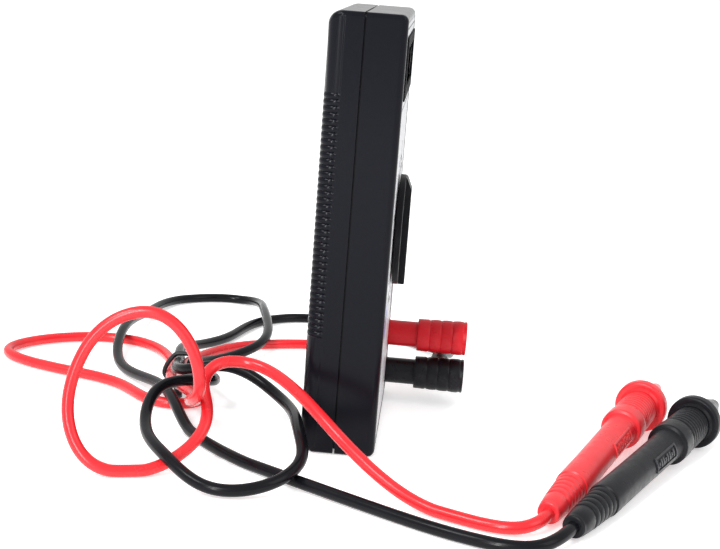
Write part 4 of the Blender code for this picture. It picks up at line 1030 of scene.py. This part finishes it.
def make_bezel():
    """Raised black frame around the display, standing on the label."""
    rim, front, back = 0.0008, LABEL_LOW.y - 0.0005, LABEL_LOW.y - 0.00002
    bezel = box_guide("bezel", (-LCD_HALF - rim, front, LCD_BOTTOM - rim),
                      (LCD_HALF + rim, back, LCD_TOP + rim))
    with_boolean(bezel, view_guide(front - THIN_PAST, back + THIN_PAST), "DIFFERENCE")
    soften(bezel, 0.00015, 3)
    settle_normals(bezel)
    dress(bezel, BEZEL_BLACK, "display_bezel", "meter")


def make_knob():
    """Selector knob: disc with rounded rims, grip bar with one sloping end, and white pointer."""
    back, disc = 0.0093, 0.0112
    hub, hub_end, rim = 0.0060, 0.0029, 0.0004
    place = Matrix.Translation((0, 0, KNOB_Z)) @ FRONTWARD
    profile = [(0, disc - 0.0002), (KNOB_RADIUS - 0.0030, disc - 0.0002)]
    profile += [(KNOB_RADIUS - 0.0024, disc)]
    profile += arc((KNOB_RADIUS - rim, disc - rim), rim, 90, 0, 6)
    profile += arc((KNOB_RADIUS - 0.0002, back + 0.0002), 0.0002, 0, -90, 4)
    profile += [(hub, back), (hub, hub_end), (0, hub_end)]
    knob = guide("knob", lathe(profile, place, 128))
    top, low, half = -KNOB_LOW.y, disc - 0.0006, 0.0037
    side = [(-0.0180, low), (-0.0180, top), (0.0126, top), (0.0158, top - 0.0014), (0.0168, low)]
    bm = bmesh.new()
    ends = [[bm.verts.new((x, -height, KNOB_Z + up)) for up, height in side] for x in (-half, half)]
    bm.faces.new(ends[0])
    bm.faces.new(list(reversed(ends[1])))
    for index in range(len(side)):
        after = (index + 1) % len(side)
        bm.faces.new((ends[0][after], ends[0][index], ends[1][index], ends[1][after]))
    bmesh.ops.recalc_face_normals(bm, faces=bm.faces)
    grip = guide("grip", bm)
    grip_reach = KNOB_RADIUS - 0.00008
    round_rim = rods_guide("rim", grip_reach, [((0, -0.02, KNOB_Z), (0, 0, KNOB_Z))], 128)
    with_boolean(grip, round_rim, "INTERSECT")
    soften(grip, 0.0006, 4, 20)
    with_boolean(knob, grip, "UNION")
    settle_normals(knob, 30)
    dress(knob, KNOB_BLACK, "selector", "knob", "selector_knob")
    half_line, line_from, line_to = 0.0005, 0.0020, 0.0118
    line = box_guide("pointer", (-half_line, -top - 0.00004, KNOB_Z + line_from),
                     (half_line, -top + 0.0003, KNOB_Z + line_to))
    soften(line, 0.0002, 3)
    dress(line, PRINT_WHITE, "knob_pointer", "knob")


# ------------------------------ stage
def make_floor():
    """Plain pale floor, wide enough to fill every view."""
    bm = bmesh.new()
    bmesh.ops.create_grid(bm, x_segments=1, y_segments=1, size=60)
    paint = bpy.data.materials.new("floor_white")
    paint.use_nodes = True
    shader = paint.node_tree.nodes["Principled BSDF"]
    shader.inputs["Base Color"].default_value = (0.97, 0.97, 0.97, 1)
    shader.inputs["Roughness"].default_value = 0.9
    shader.inputs["Specular IOR Level"].default_value = 0.0
    shader.inputs["Emission Color"].default_value = (1.0, 1.0, 1.0, 1)
    shader.inputs["Emission Strength"].default_value = 0.42
    floor = add_object("floor", mesh_from(bm, "floor"), paint)
    floor.location.z = -0.0001


def make_light(name, place, target, size, power):
    data = bpy.data.lights.new(name, "AREA")
    data.shape = "RECTANGLE"
    data.size, data.size_y = size
    data.energy = power
    light = bpy.data.objects.new(name, data)
    scene.collection.objects.link(light)
    light.location = place
    light.rotation_euler = (Vector(target) - Vector(place)).to_track_quat("-Z", "Y").to_euler()


def make_lights():
    world = bpy.data.worlds.new("studio")
    world.use_nodes = True
    background = world.node_tree.nodes["Background"]
    background.inputs["Color"].default_value = (1.0, 1.0, 1.0, 1)
    background.inputs["Strength"].default_value = 0.86
    scene.world = world
    make_light("key", (-0.5, 0.7, 1.0), (0, 0, 0.05), (0.35, 0.35), 6.0)
    make_light("fill", (-0.4, -0.9, 0.7), (0, 0, 0.05), (0.5, 0.9), 2.5)
    make_light("strip", (-0.95, 0.37, 0.52), (0, 0, 0.06), (0.04, 0.96), 9.0)


make_leads()
make_front_shell()
make_rear_shell()
make_label()
make_dial_print()
make_border_print()
make_jack_prints()
make_window()
make_bezel()
make_knob()
finish_nodes()
make_floor()
make_lights()
